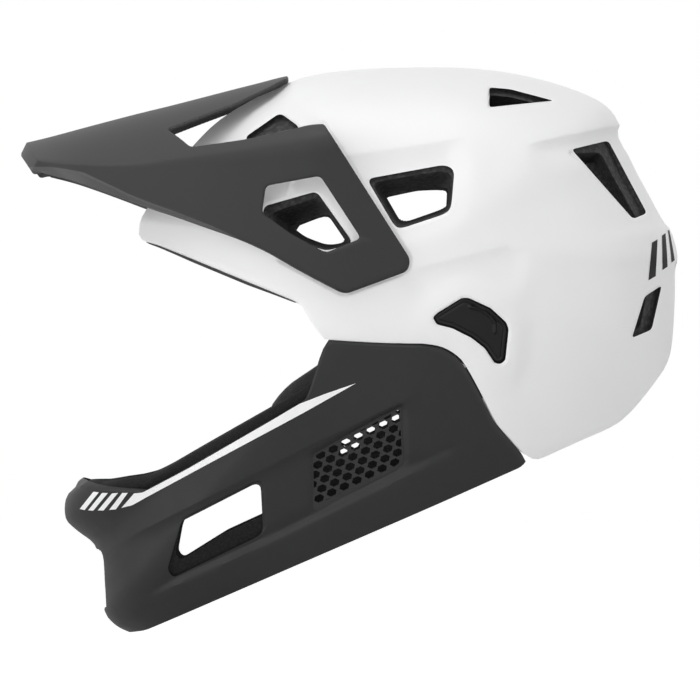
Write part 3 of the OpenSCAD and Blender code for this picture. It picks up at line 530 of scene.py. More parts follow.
def shell_relief(p):
    """How deep the shell's outer face is pressed in."""
    window = edge_distance(p, REAR_WINDOW)
    button = edge_distance(p, BUTTON_HOLE)
    return (sum(crease(p, *line) for line in SHELL_CREASES)
            + window_sink * (1 - ease(window / 11))
            + seat_sink * ease(-edge_distance(p, VISOR_SEAT) / 1.4)
            - button_swell * (1 - ease((button - 3) / 12)))


def shell_gap(p):
    """How far each point is outside the nearest hole."""
    return np.min([edge_distance(p, hole) for hole in SHELL_HOLES], axis=0)


def shell_near(measures):
    p = shell_place(measures)[0]
    seat = np.abs(edge_distance(p, VISOR_SEAT)) + 1.5
    lines = [np.abs(edge_distance(p, line[0] + line[0][-2:0:-1])) + 1.8 for line in SHELL_CREASES[:3]]
    return np.min([np.abs(shell_gap(p)), seat] + lines, axis=0)


def shell_outer(measures):
    p, rim = shell_place(measures)
    return skin(p, np.sign(measures[:, 1]), shell_relief(p) + lip(shell_gap(p), 1.2) + lip(rim, 0.9))


def shell_inner(measures):
    p = shell_place(measures)[0]
    return skin(p, np.sign(measures[:, 1]), shell_wall + 0.5 * np.maximum(0, shell_relief(p)))


shell_us = np.linspace(0, 1, 118)
shell_vs = np.linspace(-1, 1, 117)
points, faces = walled(shell_us, shell_vs, shell_outer, shell_inner, shell_near, [5, 2.4])
outer_shell = mesh_piece("white_shell", points, faces, [white_paint, bead_foam])
cutters = [prism(hole, far=120, near=20 if hole is ROOF_VENT or hole is NAPE_VENT else 40, side=side)
           for side in (-1, 1) for hole in SHELL_HOLES]
carve(outer_shell, cutters, 1)
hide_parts("outer_shell")
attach(outer_shell, "helmet")

# Printed bars on the shell
# Three dark slanted bars pad-printed on each side of the nape, a little proud of the white paint.
# Each is a strip of the shell's own surface between four corners.
black_ink = cloudy("black_ink", 0.6, (0.016, 0.017), (0.026, 0.027), (120,),
                   more={"Specular IOR Level": 0.15})
nape_ink_lift = 0.14
# Each bar: upper front, upper rear, lower rear and lower front corner
REAR_BARS = [
    [(125.6, 11.6), (128.6, 13.3), (127.6, -5.8), (123.7, -8)],
    [(131.1, 15.3), (133.1, 16.7), (134.1, -0.8), (131.3, -2.6)],
    [(134.6, 18), (135.4, 18.6), (138.1, 2.7), (136.4, 1.4)],
]


def print_strip(upper, lower, side, steps, relief, lift):
    """A printed strip between two lines in the side view, laid on the body's skin."""
    t = np.linspace(0, 1, steps)
    points, faces = [], []
    rows = [along(upper, t) * (1 - k / 3) + along(lower, t) * (k / 3) for k in range(4)]
    for row in rows:
        points += list(skin(row, side, relief(row) - lift))
    for k in range(3):
        for i in range(steps - 1):
            a = k * steps + i
            ring = [a, a + 1, a + 1 + steps, a + steps]
            faces.append(ring if side < 0 else ring[::-1])
    return points, faces


def print_piece(name, strips, ink, body):
    """A piece of ink from several printed strips, which stands for no node."""
    points, faces = joined(strips)
    mesh = bpy.data.meshes.new(name)
    mesh.from_pydata(np.array(points) * mm, [], faces)
    mesh.materials.append(ink)
    mesh.polygons.foreach_set("use_smooth", [True] * len(faces))
    piece = linked(name, mesh)
    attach(piece, body)


bars = [print_strip([bar[0], bar[3]], [bar[1], bar[2]], side, 14, shell_relief, nape_ink_lift)
        for bar in REAR_BARS for side in (-1, 1)]
print_piece("nape_bars", bars, black_ink, "helmet")

# Edge trim
# Soft black rubber beads pressed over the shell's edge, round the eye port and along the nape.
# They close the joint between the skin and the foam, and show as a thin dark line below the white.
rubber = cloudy("trim_rubber", 0.6, (0.013, 0.013), (0.022, 0.022), (200,), grain=(900, 2, 0.15, 0.0003))
# Each profile: how far outside the rim and how deep under the skin
PORT_BEAD = [(0.1, 0.3), (0.8, 0.25), (1.2, 0.6), (1.3, 1.2), (1.3, 3), (1.1, 3.8), (0.1, 3.9)]
NAPE_BEAD = [(0, 1.3), (0.3, 1.4), (0.5, 1.9), (0.5, 3.3), (0.3, 3.8), (0, 3.9)]


def tube_faces(n, rings):
    """The faces of a tube of rings of n points each, closed at both ends."""
    sides = [[i * n + k, i * n + (k + 1) % n, (i + 1) * n + (k + 1) % n, (i + 1) * n + k]
             for i in range(rings - 1) for k in range(n)]
    return sides + [list(range(n)), list(range((rings - 1) * n, rings * n))]


def trim_bead(path, side, profile):
    """A bead along one side's rim, thinner towards both ends."""
    rim = smooth_path(path, 5)
    run = np.gradient(rim, axis=0)
    away = np.stack([run[:, 1], -run[:, 0]], axis=-1) / np.linalg.norm(run, axis=1)[:, None]
    spot = np.arange(len(rim))
    thin = np.minimum(1, 0.15 + np.minimum(spot, spot[::-1]) / 12)[:, None]
    rows = [skin(rim + away * wide * thin, side, np.full(len(rim), depth)) for wide, depth in profile]
    return np.stack(rows, axis=1).reshape(-1, 3), tube_faces(len(profile), len(rim))


# The port's edge runs rearwards and down and the nape's rearwards and up, so both have the head above them
points, faces = joined([trim_bead(path, side, profile) for side in (-1, 1)
                        for path, profile in ((PORT[2:9], PORT_BEAD), (NAPE[1:-1], NAPE_BEAD))])
trim = mesh_piece("edge_beads", points, faces, [rubber], sharp=50)
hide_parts("edge_trim")
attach(trim, "helmet")

# Foam liner
# Moulded bead foam that fills the space between the shell and the head, about 30 mm thick.
# Vents narrow inwards through it, and two shallow air channels run along the crown between the pads.
foam_gap = 0.3
liner_inset, least_foam = 3, 9
head_long, head_wide, head_crown = 200.0, 158.0, 72.0


def cavity(points):
    """Draws points in to the head's cavity, but leaves some foam where there is little room."""
    low = np.where(points[:, 2] < 0, 0, points[:, 2] / head_crown)
    scale = 1 / np.sqrt((points[:, 0] / head_long * 2) ** 2 + (points[:, 1] / head_wide * 2) ** 2 + low ** 2)
    return points * np.minimum(scale, 1 - least_foam / np.linalg.norm(points, axis=1))[:, None]


def liner_outer(measures):
    p, rim = shell_place(measures, liner_inset)
    sunk = lip(rim, 2) + 0.5 * np.maximum(0, shell_relief(p))
    return skin(p, np.sign(measures[:, 1]), shell_wall + foam_gap + sunk)


def liner_inner(measures):
    p, rim = shell_place(measures, liner_inset)
    points = cavity(skin(p, np.sign(measures[:, 1]), shell_wall + foam_gap))
    roll = np.degrees(np.arctan2(points[:, 1], np.maximum(points[:, 2], 1)))
    channel = sum(np.exp(-((roll - middle) / 4.5) ** 2) for middle in (-17, 17))
    channel = channel * ease((points[:, 2] - 25) / 20)
    return points * (1 + 0.07 * channel + 0.02 * lip(rim, 4) / 4)[:, None]


def liner_near(measures):
    return np.abs(shell_gap(shell_place(measures, liner_inset)[0]))


# Each vent: its outline in the shell, how far out and in the cutter goes, and its outline at the head
LINER_VENTS = [
    (FRONT_WINDOW, 106, 60, rounded([(-62.5, 20.2), (-43.5, 25.6), (-41.5, 24.8), (-34.6, 13.6), (-35.6, 12),
                                     (-43, 11.3), (-53, 14.6)], 2)),
    (REAR_WINDOW, 106, 60, rounded([(-11, 34.6), (4.6, 38.6), (19.8, 39.4), (19.2, 30.8),
                                    (-3.3, 23.3)], 1.6)),
    (ROOF_VENT, 74, 30, rounded([(41, 74), (41, 82), (52, 82), (66, 78)], 1.6)),
    (BACK_VENT, 88, 28, rounded([(80, 50), (96, 54), (116, 20), (110, 18)], 2)),
    (BROW_VENT, 96, 46, rounded([(-88, 52), (-74, 62), (-68, 58), (-70, 48), (-80, 46)], 2)),
    (NAPE_VENT, 90, 30, rounded([(118, -16), (112, -20), (107, -34), (114, -31)], 1.5)),
]
EAR_ROOM = rounded([(5, -22), (30, -10), (58, -26), (58, -58), (44, -60), (36, -48), (8, -38)], 3)
liner_us, liner_vs = np.linspace(0.004, 0.996, 90), np.linspace(-1, 1, 91)
points, faces = walled(liner_us, liner_vs, liner_outer, liner_inner, liner_near, [5])
liner = mesh_piece("bead_liner", points, faces, [bead_foam])
cutters = []
for side in (-1, 1):
    cutters += [prism(hole, far, near, side, inside) for hole, far, near, inside in LINER_VENTS]
    cutters.append(prism(EAR_ROOM, far=110, near=88, side=side))
carve(liner, cutters)
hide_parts("foam_liner")
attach(liner, "helmet")

# Visor
# A stiff injection-moulded peak with a centre tongue and two windowed arms that turn on pins in the shell.
# Matt black with a fine moulded grain; its edges are rounded and its lower edge turns out in a narrow flange.
visor_wall, visor_half, lip_half, arm_out = 2.4, 108.3, 74.0, 34.3
# Each row: centre [x, z], crease [x, z, step in], lower edge [x, z, step out from the lip's half width]
VISOR_ROWS = np.array([
    (-201.8, 64.1, -194.6, 54.2, -3.4, -189.5, 47.1, 0),
    (-188, 67.4, -177.5, 52.6, -4.6, -175.5, 43.5, 5),
    (-165, 73.6, -160.5, 51.8, -5, -157, 37.1, 12),
    (-142, 79.6, -140, 52.4, -5.6, -137, 29.6, 17.5),
    (-126, 83.5, -124, 54.6, -5.5, -121, 24.3, 21),
    (-110, 87.6, -108, 56.8, -5, -105, 18.6, 24.5),
    (-95, 91.5, -93, 58.8, -4.5, -89, 12.9, 27.5),
    (-80, 95.3, -78, 61, -4, -74, 6.1, 30),
    (-63.5, 99.4, -62, 63.4, -3, -57, -3.6, 32.4),
    (-44, 102, -44, 66.2, -2.4, -34.4, -15.4, 34.3),
    (2, 102, 2, 70, -1.6, 2, -33, 34.3),
])
SLOT_SIDE = [(-63.5, 25), (-72, 40), (-90, 54), (-126, 63), (-113.5, 87), (-86, 93.5), (-60, 96.3),
             (-40, 98.5), (12, 99)]
VISOR_SLOT = rounded(SLOT_SIDE + [(x, -y) for x, y in SLOT_SIDE[::-1]], 3)
VISOR_REAR = rounded([(-45.5, 74), (0, 2.5), (-1.4, -3.6), (-29.6, -14), (-32.4, -14.9), (-35, -14.8),
                      (-38.2, -13.6), (-42, -45), (40, -45), (40, 130), (-45, 130)], 3)
ARM_WINDOW = rounded([(-76.6, 26.5), (-74.6, 40.5), (-46.6, 45.6), (-25.6, 13.4), (-43.7, 6),
                      (-61, 15.4)], 2.6)
side_share, lip_forward, lip_down = 0.34, 1.5, 4.8


def visor_strip(x):
    """Height of the narrow strip that turns outwards along the lower edge."""
    return np.interp(x, [-190, -186, -169, -146, -124, -103, -89], [3.6, 4.4, 6.3, 3.6, 2.9, 2.2, 0.6])


def visor_place(measures, depth):
    """Spots of the peak, sunk by a depth, from measures: 0 in front to 1 behind, and -1 to 1 across."""
    fine = smooth_path(VISOR_ROWS, 8)
    last = len(VISOR_ROWS) - 1
    marks = np.linspace(0, last, len(fine))
    roof_x, roof_z, crease_x, crease_z, step_in, edge_x, edge_z, step_out = [
        np.interp(measures[:, 0] * last, marks, fine[:, k]) for k in range(8)]
    s = np.abs(measures[:, 1])
    half = step_out + lip_half + (visor_half - lip_half - arm_out) * step_out / arm_out + visor_wall
    crease_half = half + step_in - 0.7 * depth
    fall = roof_z - crease_z - 0.2 * depth

    def section(s):
        up = np.clip((1 - s) / side_share, 0, 1)          # 0 at the lower edge, 1 at the crease
        t = np.clip(s / (1 - side_share), 0, 1)           # 1 at the crease, 0 in the middle
        roof = np.stack([roof_x + (crease_x - roof_x) * t * t, t * crease_half,
                         roof_z - depth - fall * t ** 2.2], -1)
        panel = np.stack([edge_x + (crease_x - edge_x) * up, (half - depth) * (1 - up) + crease_half * up,
                          edge_z + (roof_z - depth - fall - edge_z) * up], -1)
        return np.where((s > 1 - side_share)[:, None], panel, roof)

    # The crease is softened by taking the mean of the section round it
    soft = sum(section(np.clip(s + shift, 0, 1)) for shift in (-0.024, -0.012, 0, 0.012, 0.024)) / 5
    keep = np.clip(np.minimum(1 - s, s) / 0.03, 0, 1)[:, None]
    points = section(s) * (1 - keep) + soft * keep
    rise = np.clip((1 - s) / side_share, 0, 1) * (crease_z - edge_z)
    strip = visor_strip(edge_x)
    along_edge = (1 - ease((edge_x + 124) / 56)) * ease((edge_x + 188) / 14)
    flange = strip * np.clip(1 - rise / strip, 0, 1) * along_edge
    # The front edge turns down in a narrow lip
    corner = ease(1 - (1 - s) / side_share)
    bend = np.clip(1 - (measures[:, 0] - 0.004) / (0.012 + 0.07 * corner), 0, 1) * (1 - corner)
    out = np.sign(measures[:, 1]) * (points[:, 1] + flange)
    return np.stack([points[:, 0] - lip_forward * bend, out, points[:, 2] - lip_down * bend], -1)


def visor_gap(measures):
    """How far each point of the peak is outside its slot, its arm windows and its rear edge."""
    spots = visor_place(measures, np.zeros(len(measures)))
    plan = np.stack([spots[:, 0], np.abs(spots[:, 1])], -1)
    flat = spots[:, [0, 2]]
    above = np.where(spots[:, 2] > 20, edge_distance(plan, VISOR_SLOT), 99)
    beside = np.where(np.abs(spots[:, 1]) > visor_half - 14,
                      np.minimum(edge_distance(flat, VISOR_REAR), edge_distance(flat, ARM_WINDOW)), 99)
    return np.minimum(above, beside)


visor_across, visor_long = 110, 200


def visor_rim(measures):
    """About how far each point is from the lower and the front edge."""
    return np.minimum((1 - np.abs(measures[:, 1])) * visor_across, measures[:, 0] * visor_long)


def visor_outer(measures):
    return visor_place(measures, lip(visor_gap(measures), 1) + lip(visor_rim(measures), 1))


def visor_inner(measures):
    return visor_place(measures, visor_wall - lip(visor_gap(measures), 0.9) - lip(visor_rim(measures), 0.9))


def visor_near(measures):
    return np.minimum(np.abs(visor_gap(measures)), visor_rim(measures) + 1.2)


visor_us = np.concatenate([[0, 0.003, 0.007, 0.0115, 0.016], np.linspace(0.024, 1, 73)])
side_steps = np.concatenate([np.linspace(0, 1 - side_share, 30)[:-1], np.linspace(1 - side_share, 1, 26)])
visor_vs = np.concatenate([-side_steps[:0:-1], side_steps])
points, faces = walled(visor_us, visor_vs, visor_outer, visor_inner, visor_near, [4, 2])
# The strip along the lower edge is painted lighter than the rest: a painted highlight for the light it
# catches from above
visor_plastic, surface, place = finish("visor_plastic", {"Roughness": 0.56, "Specular IOR Level": 0.42})
strip_note = place.id_data.nodes.new("ShaderNodeAttribute")
strip_note.attribute_name = "strip"
highlight_mask = add_node(place.id_data, "ShaderNodeMapRange",
                       {"From Min": -0.25, "From Max": 0.25, "Value": strip_note.outputs["Fac"]})
# Painted highlight: the strip's colour is lighter than the visor's own black
painted_highlight_tones = two_tones(highlight_mask.outputs["Result"], (0.0145, 0.015), (0.055, 0.056), 0, 1)
feed(surface, {"Base Color": painted_highlight_tones})
raised(surface, speckle(place, 1500, 1), 0.12, 0.0003)
visor = mesh_piece("visor_peak", points, faces, [visor_plastic])
carve(visor, [drum(*(np.insert(VISOR_SLOT, 2, z, axis=1) for z in (20, 130)))])
carve(visor, [prism(hole, far=visor_half + 9, near=visor_half - 13, side=side)
              for hole in (VISOR_REAR, ARM_WINDOW) for side in (-1, 1)])
# How far below the strip's upper limit each point is, for the strip's painted highlight in the material
edge_rows = smooth_path(VISOR_ROWS, 8)
spots = np.array([spot.co for spot in visor.data.vertices]) * in_mm
above_edge = spots[:, 2] - np.interp(spots[:, 0], edge_rows[:, 5], edge_rows[:, 6])
notes = visor.data.attributes.new("strip", "FLOAT", "POINT")
notes.data.foreach_set("value", visor_strip(spots[:, 0]) - above_edge)
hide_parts("visor")
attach(visor, "visor")

# Chin guard
# An injection-moulded jaw bar, clipped to the shell behind the ears so that it lifts off forwards and down.
# A sunk channel runs along each arm, with an open window at the front and a net of hexagons at the rear.
guard_wall, guard_foam, seam_gap = 3.0, 13.0, 0.6
GUARD_TOP = [(-42.6, -39.4), (-45.2, -43.5), (-47.3, -49), (-49, -54.6), (-50.6, -60), (-52.4, -65.5),
             (-54.5, -70.3), (-60, -74), (-72, -80.7), (-94, -93.4), (-115.5, -105.8), (-138, -117.9),
             (-148, -117.4), (-157, -116.4), (-164, -115.2), (-169.4, -113.6), (-173, -112.3)]
GUARD_BOTTOM = [(58, -105.4), (-137.6, -190.9), (-145.5, -192.2)]
CHIN_PROFILE = [(-173, -112.3), (-176.4, -115.6), (-179.6, -120.2), (-180.5, -126), (-180, -132),
                (-177.6, -136.3), (-174, -138.8), (-169, -142), (-165, -146), (-163.2, -151.4),
                (-162.4, -156.4), (-160.6, -172.5), (-158.2, -184), (-145.5, -192.2)]
guard_rear = [(x - 0.8 * seam_gap, z - seam_gap) for x, z in SEAM[1:]]
guard_rear = GUARD_TOP[:1] + guard_rear + [(60.5, -102.6), (58, -105.4)]


def patch(u, v, rear, top, bottom, front):
    """A point of the sheet between four lines; u runs from top to bottom and v from rear to front."""
    rear_u, front_u, top_v, bottom_v = along(rear, u), along(front, u), along(top, v), along(bottom, v)
    rear, top, bottom = np.array(rear), np.array(top), np.array(bottom)
    u, v = u[:, None], v[:, None]
    return ((1 - v) * rear_u + v * front_u + (1 - u) * top_v + u * bottom_v
            - (1 - u) * ((1 - v) * rear[0] + v * top[-1]) - u * ((1 - v) * rear[-1] + v * bottom[-1]))


def guard_place(measures, rear=guard_rear, top=GUARD_TOP, front=CHIN_PROFILE):
    """Where the guard's measures lie in the side view."""
    v = 1 - np.abs(measures[:, 1])
    p = patch(measures[:, 0], v, rear, top, GUARD_BOTTOM, front)
    # The nose of the guard lies on the mid-plane, and everything beside it stays off the plane
    nose = along(front, measures[:, 0])
    share, nose_share = np.linalg.norm(p, axis=1) / reach(p), np.linalg.norm(nose, axis=1) / reach(nose)
    eased = share / (1 + (nose_share - 1) * ease((v - 0.75) / 0.25))
    share_wanted = np.where(v > 0.9999, 1, np.minimum(eased, 1 - 0.0004 * (1 - v)))
    return p * (share_wanted / share)[:, None]


CHIN_WINDOW = rounded([(-118.5, -133), (-80.3, -113.4), (-77.4, -114.4), (-76.2, -138), (-79, -140.8),
                       (-123, -162.4), (-126, -158)], 2.5)
MESH_CORNERS = [(-51, -99.7), (-4.6, -73.6), (-3.2, -103), (-7.3, -106.4), (-47.6, -126.8), (-50.4, -125)]
MESH_WINDOW = rounded(MESH_CORNERS, 2)
CHANNEL_TOP = [(-158, -149), (-138, -137.3), (-95, -115.6), (-53, -94), (-4, -71), (10, -60)]
CHANNEL_BOTTOM = [(-146, -176), (-123, -164), (-70, -140), (-1.6, -106.4), (30, -91)]
MOUTH_CORNERS = [(-27, -152), (-22, -149), (22, -149), (27, -152), (20, -179), (-20, -179)]
MOUTH_VENT = rounded(MOUTH_CORNERS, 3)


channel_sink, groove_sink, net_sink = 2.3, 0.8, 0.9


def guard_relief(p):
    """How deep the guard's outer face is pressed in."""
    # The channel sinks below its upper line, deepens to a groove, and steps out again at its lower line
    under_top, place, whole = beside(p, CHANNEL_TOP)
    under_low = beside(p, CHANNEL_BOTTOM)[0]
    sunk = np.clip(under_top / 8, 0, 1)
    channel = channel_sink * sunk * (2 - sunk) + groove_sink * ease(1 + under_low / 7)
    channel = channel * ease(1 - np.maximum(under_low, 0) / 3)
    return (channel * ease(place / 26) * ease((whole - place) / 34)
            + net_sink * (1 - ease((edge_distance(p, MESH_WINDOW) - 0.6) / 2.6)))


def guard_gap(measures):
    """How far each point is outside the guard's windows and its mouth vent."""
    p = guard_place(measures)
    gap = np.minimum(edge_distance(p, CHIN_WINDOW), edge_distance(p, MESH_WINDOW))
    spots = skin(p, np.sign(measures[:, 1]), np.zeros(len(p)))
    front = np.where(spots[:, 0] < -140, edge_distance(spots[:, 1:], MOUTH_VENT), 99)
    return np.minimum(gap, front)


def guard_rim(measures):
    """How far each point is from the guard's upper, lower and rear edges."""
    p = guard_place(measures)
    gaps = []
    for u in (0, 1):
        edge = guard_place(np.stack([np.full(len(p), float(u)), measures[:, 1]], -1))
        gaps.append(np.linalg.norm(edge - p, axis=1))
    edge = guard_place(np.stack([measures[:, 0], np.where(measures[:, 1] < 0, -1.0, 1.0)], -1))
    gaps.append(np.linalg.norm(edge - p, axis=1))
    return np.min(gaps, axis=0)


def guard_back(p):
    return guard_wall + 0.35 * np.maximum(0, guard_relief(p))


def guard_outer(measures):
    p = guard_place(measures)
    sunk = guard_relief(p) + lip(guard_gap(measures), 1.2) + lip(guard_rim(measures), 1.2)
    return skin(p, np.sign(measures[:, 1]), np.minimum(sunk, guard_back(p) - 0.5))


def guard_inner(measures):
    p = guard_place(measures)
    return skin(p, np.sign(measures[:, 1]), guard_back(p))


def guard_near(measures):
    p = guard_place(measures)
    channel = np.abs(edge_distance(p, CHANNEL_TOP + CHANNEL_BOTTOM[::-1])) + 1.6
    return np.min([np.abs(guard_gap(measures)), channel, guard_rim(measures) + 2], axis=0)


guard_us = np.linspace(0, 1, 40)
guard_vs = np.linspace(-1, 1, 191)
guard_vs = np.sign(guard_vs) * np.abs(guard_vs) ** 1.5
points, faces = walled(guard_us, guard_vs, guard_outer, guard_inner, guard_near, [4.4, 2])
jaw_plastic = cloudy("jaw_plastic", 0.58, (0.0115, 0.012), (0.015, 0.0155), (14, 4), (90, 0.5, 0.64),
                     (1500, 1, 0.12, 0.0003), {"Specular IOR Level": 0.4})
guard = mesh_piece("jaw_bar", points, faces, [jaw_plastic])


def front_prism(outline, near, far):
    """A cutter from the front, through an outline seen from there."""
    return drum(*(np.insert(outline, 0, x, axis=1) for x in (far, near)))


carve(guard, [prism(hole, far=112, near=55, side=side)
              for hole in (CHIN_WINDOW, MESH_WINDOW) for side in (-1, 1)])
carve(guard, [front_prism(MOUTH_VENT, near=-120, far=-200)])
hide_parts("chin_guard")
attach(guard, "chin_guard")

# Printed stripes on the chin guard
# Four slanted bars and one long tapering stripe in pale grey ink along the top of each arm.
# They are pad-printed on the guard, and stand a little proud of its surface.
pale_ink = cloudy("pale_ink", 0.45, (0.88, 0.885), (0.93, 0.935), (60,))
jaw_ink_lift = 0.06


def by_pixel(path):
    """Side-view millimetres of points read in the photograph, at 0.52 mm to a pixel."""
    return [((x - 410) * 0.52, (265 - y) * 0.52) for x, y in path]


# Each bar: upper left, upper right, lower right and lower left corner in the photograph
GUARD_BARS = [
    [(93.6, 491.6), (99.2, 492.1), (84.4, 510.1), (79.4, 509.1)],
    [(102.5, 492.7), (108.4, 492.7), (93.3, 510.6), (88.1, 510.3)],
    [(112.5, 493.1), (118.6, 492.5), (103.8, 510.3), (97.9, 510.3)],
    [(122.9, 492.5), (128.4, 492.5), (116.2, 509.1), (109.4, 509.7)],
]
STRIPE_TOP = by_pixel([(134.7, 493), (143.6, 492), (188, 468.5), (272, 420), (299.6, 403.6),
                       (324.6, 393.8), (355.9, 383)])
STRIPE_LOW = by_pixel([(121.9, 507.5), (132.5, 505), (145.4, 497.7), (215, 460), (289.7, 420),
                       (306.8, 410.7), (355.9, 383)])
strips = []
for side in (-1, 1):
    for bar in GUARD_BARS:
        a, b, c, d = by_pixel(bar)
        strips.append(print_strip([a, d], [b, c], side, 12, guard_relief, jaw_ink_lift))
    strips.append(print_strip(STRIPE_TOP, STRIPE_LOW, side, 90, guard_relief, jaw_ink_lift))
print_piece("guard_stripes", strips, pale_ink, "chin_guard")

# Foam of the chin guard
# A bead foam lining glued into the jaw bar.
# It stands a little above the arms and thins out behind the ears.
FOAM_TOP = [(-44, -44), (-47.5, -54), (-52, -62), (-57.5, -67.5), (-64, -71), (-75, -77.5), (-96, -89.5),
            (-117, -101.5), (-133, -110.8), (-141, -114.8), (-149, -116.9), (-158, -118.2), (-168, -120),
            (-179.6, -120.2)]
FOAM_WINDOW = rounded([(-119, -133), (-80.3, -113), (-77, -114.4), (-76, -130), (-95.8, -139), (-119, -153.4),
                       (-122, -150)], 2.5)
foam_rear = [FOAM_TOP[0]] + [(x - 3, z - 5) for x, z in SEAM[1:]] + [(57, -100.5), (54, -103)]
AIR_DUCT = rounded([(-37, -91), (-5, -74.5), (-4.5, -81.6), (-25, -91.6), (-27.5, -96), (-36, -100)], 1.5)
foam_tall = 60
guard_depth = guard_wall + foam_gap + 1.1


def foam_depths(measures):
    """Where the foam lies in the side view, and how deep its outer and inner faces are."""
    p = guard_place(measures, foam_rear, FOAM_TOP, CHIN_PROFILE[2:])
    thick = guard_foam * (1 - 0.8 * np.clip(p[:, 0] / 50, 0, 1))
    round_top = lip(measures[:, 0] * foam_tall, 3) * thick / guard_foam
    behind_net = 0.6 * thick * (1 - ease((edge_distance(p, MESH_WINDOW) - 3) / 2.4))
    return p, guard_depth + round_top + behind_net, guard_depth + thick - round_top


def foam_outer(measures):
    p, outer, inner = foam_depths(measures)
    return skin(p, np.sign(measures[:, 1]), outer)


def foam_inner(measures):
    p, outer, inner = foam_depths(measures)
    return skin(p, np.sign(measures[:, 1]), inner)


def foam_near(measures):
    p = foam_depths(measures)[0]
    return np.min([np.abs(edge_distance(p, FOAM_WINDOW)), measures[:, 0] * foam_tall,
                   np.abs(edge_distance(p, MESH_WINDOW) - 4.2)], axis=0)


points, faces = walled(np.linspace(0, 1, 30), np.linspace(-1, 1, 121), foam_outer, foam_inner, foam_near, [4])
fine_foam = beaded("fine_foam", 700, (0.012, 0.012), (0.006, 0.006), (0.15, -0.0003),
                   {"Specular IOR Level": 0.25})
chin_foam = mesh_piece("jaw_foam", points, faces, [fine_foam])
cutters = []
for side in (-1, 1):
    cutters += [prism(FOAM_WINDOW, far=112, near=50, side=side), prism(AIR_DUCT, far=112, near=60, side=side)]
carve(chin_foam, cutters)
carve(chin_foam, [front_prism(MOUTH_VENT, near=-110, far=-200)])
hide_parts("chin_foam")
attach(chin_foam, "chin_guard")

# Nets of the chin guard
# Flat moulded nets of hexagonal holes, clipped in behind the arm windows and behind the mouth vent.
# One Geometry Nodes lattice cuts the holes; a plain border runs round each net.
net_plastic = cloudy("net_plastic", 0.5, (0.009, 0.0095), (0.013, 0.0135), (40,),
                     grain=(1800, 1, 0.1, 0.0003))
mesh_thick, hole_lap, border_round = 1.6, 0.9, 2.4
cells = 15
LATTICE_INPUTS = [("Geometry", "Geometry"), ("Pitch", "Float"), ("Row Gap", "Float"), ("Hole Long", "Float"),
                  ("Hole Tall", "Float"), ("Deep", "Float"), ("Turn", "Float"), ("Middle", "Vector"),
                  ("Plastic", "Material")]
lattice = bpy.data.node_groups.new("hex_lattice", "GeometryNodeTree")
for name, kind in LATTICE_INPUTS:
    lattice.interface.new_socket(name, in_out="INPUT", socket_type="NodeSocket" + kind)
lattice.interface.new_socket("Geometry", in_out="OUTPUT", socket_type="NodeSocketGeometry")
net_in = lattice.nodes.new("NodeGroupInput").outputs
net_out = lattice.nodes.new("NodeGroupOutput")

# A grid of points, with every other row shifted by half a pitch
grid = add_node(lattice, "GeometryNodeMeshGrid", {
    "Vertices X": cells,
    "Vertices Y": cells,
    "Size X": maths(lattice, "MULTIPLY", net_in["Pitch"], cells - 1.0),
    "Size Y": maths(lattice, "MULTIPLY", net_in["Row Gap"], cells - 1.0),
})
where = add_node(lattice, "GeometryNodeInputPosition", {})
parts = add_node(lattice, "ShaderNodeSeparateXYZ", {0: where.outputs[0]})
row = maths(lattice, "ROUND", maths(lattice, "DIVIDE", parts.outputs["Y"], net_in["Row Gap"]))
odd = maths(lattice, "ABSOLUTE", maths(lattice, "MODULO", row, 2.0))
half_pitch = maths(lattice, "MULTIPLY", net_in["Pitch"], 0.5)
shift = add_node(lattice, "ShaderNodeCombineXYZ", {"X": maths(lattice, "MULTIPLY", odd, half_pitch)})
shifted = add_node(lattice, "GeometryNodeSetPosition", {
    "Geometry": grid.outputs["Mesh"],
    "Offset": shift.outputs[0],
})

# A hexagon on each point, flattened to the hole's height
hexagon = add_node(lattice, "GeometryNodeMeshCylinder", {
    "Vertices": 6,
    "Radius": maths(lattice, "MULTIPLY", net_in["Hole Long"], 0.5),
    "Depth": net_in["Deep"],
})
flatness = maths(lattice, "DIVIDE", net_in["Hole Tall"], net_in["Hole Long"])
flatter = add_node(lattice, "ShaderNodeCombineXYZ", {
    "X": 1,
    "Y": maths(lattice, "DIVIDE", flatness, math.cos(math.radians(30))),
    "Z": 1,
})
holes = add_node(lattice, "GeometryNodeInstanceOnPoints", {
    "Points": shifted.outputs[0],
    "Instance": hexagon.outputs["Mesh"],
    "Scale": flatter.outputs[0],
})

# The whole lattice is turned and moved to the net, and cut out of it
turn = add_node(lattice, "ShaderNodeCombineXYZ", {"Z": net_in["Turn"]})
placed = add_node(lattice, "GeometryNodeTransform", {
    "Geometry": holes.outputs[0],
    "Translation": net_in["Middle"],
    "Rotation": turn.outputs[0],
})
real_holes = add_node(lattice, "GeometryNodeRealizeInstances", {0: placed.outputs[0]})
punched = lattice.nodes.new("GeometryNodeMeshBoolean")
punched.operation = "DIFFERENCE"
punched.solver = "EXACT"
feed(punched, {"Mesh 1": net_in["Geometry"], "Mesh 2": real_holes.outputs[0]})
coated = add_node(lattice, "GeometryNodeSetMaterial", {
    "Geometry": punched.outputs[0],
    "Material": net_in["Plastic"],
})
feed(net_out, {0: coated.outputs[0]})


def grown(outline, step):
    """The outline moved outwards by a step, corner by corner."""
    spots = np.array(outline, float)
    spots = spots[np.linalg.norm(spots - np.roll(spots, 1, 0), axis=1) > 1e-6]
    turn = np.sum(spots[:, 0] * np.roll(spots[:, 1], -1) - np.roll(spots[:, 0], -1) * spots[:, 1])
    ways = np.roll(spots, -1, 0) - spots
    normals = np.stack([ways[:, 1], -ways[:, 0]], -1) / np.linalg.norm(ways, axis=1)[:, None] * np.sign(turn)
    both = normals + np.roll(normals, 1, 0)
    return spots + both / (both * both).sum(1)[:, None] * 2 * step


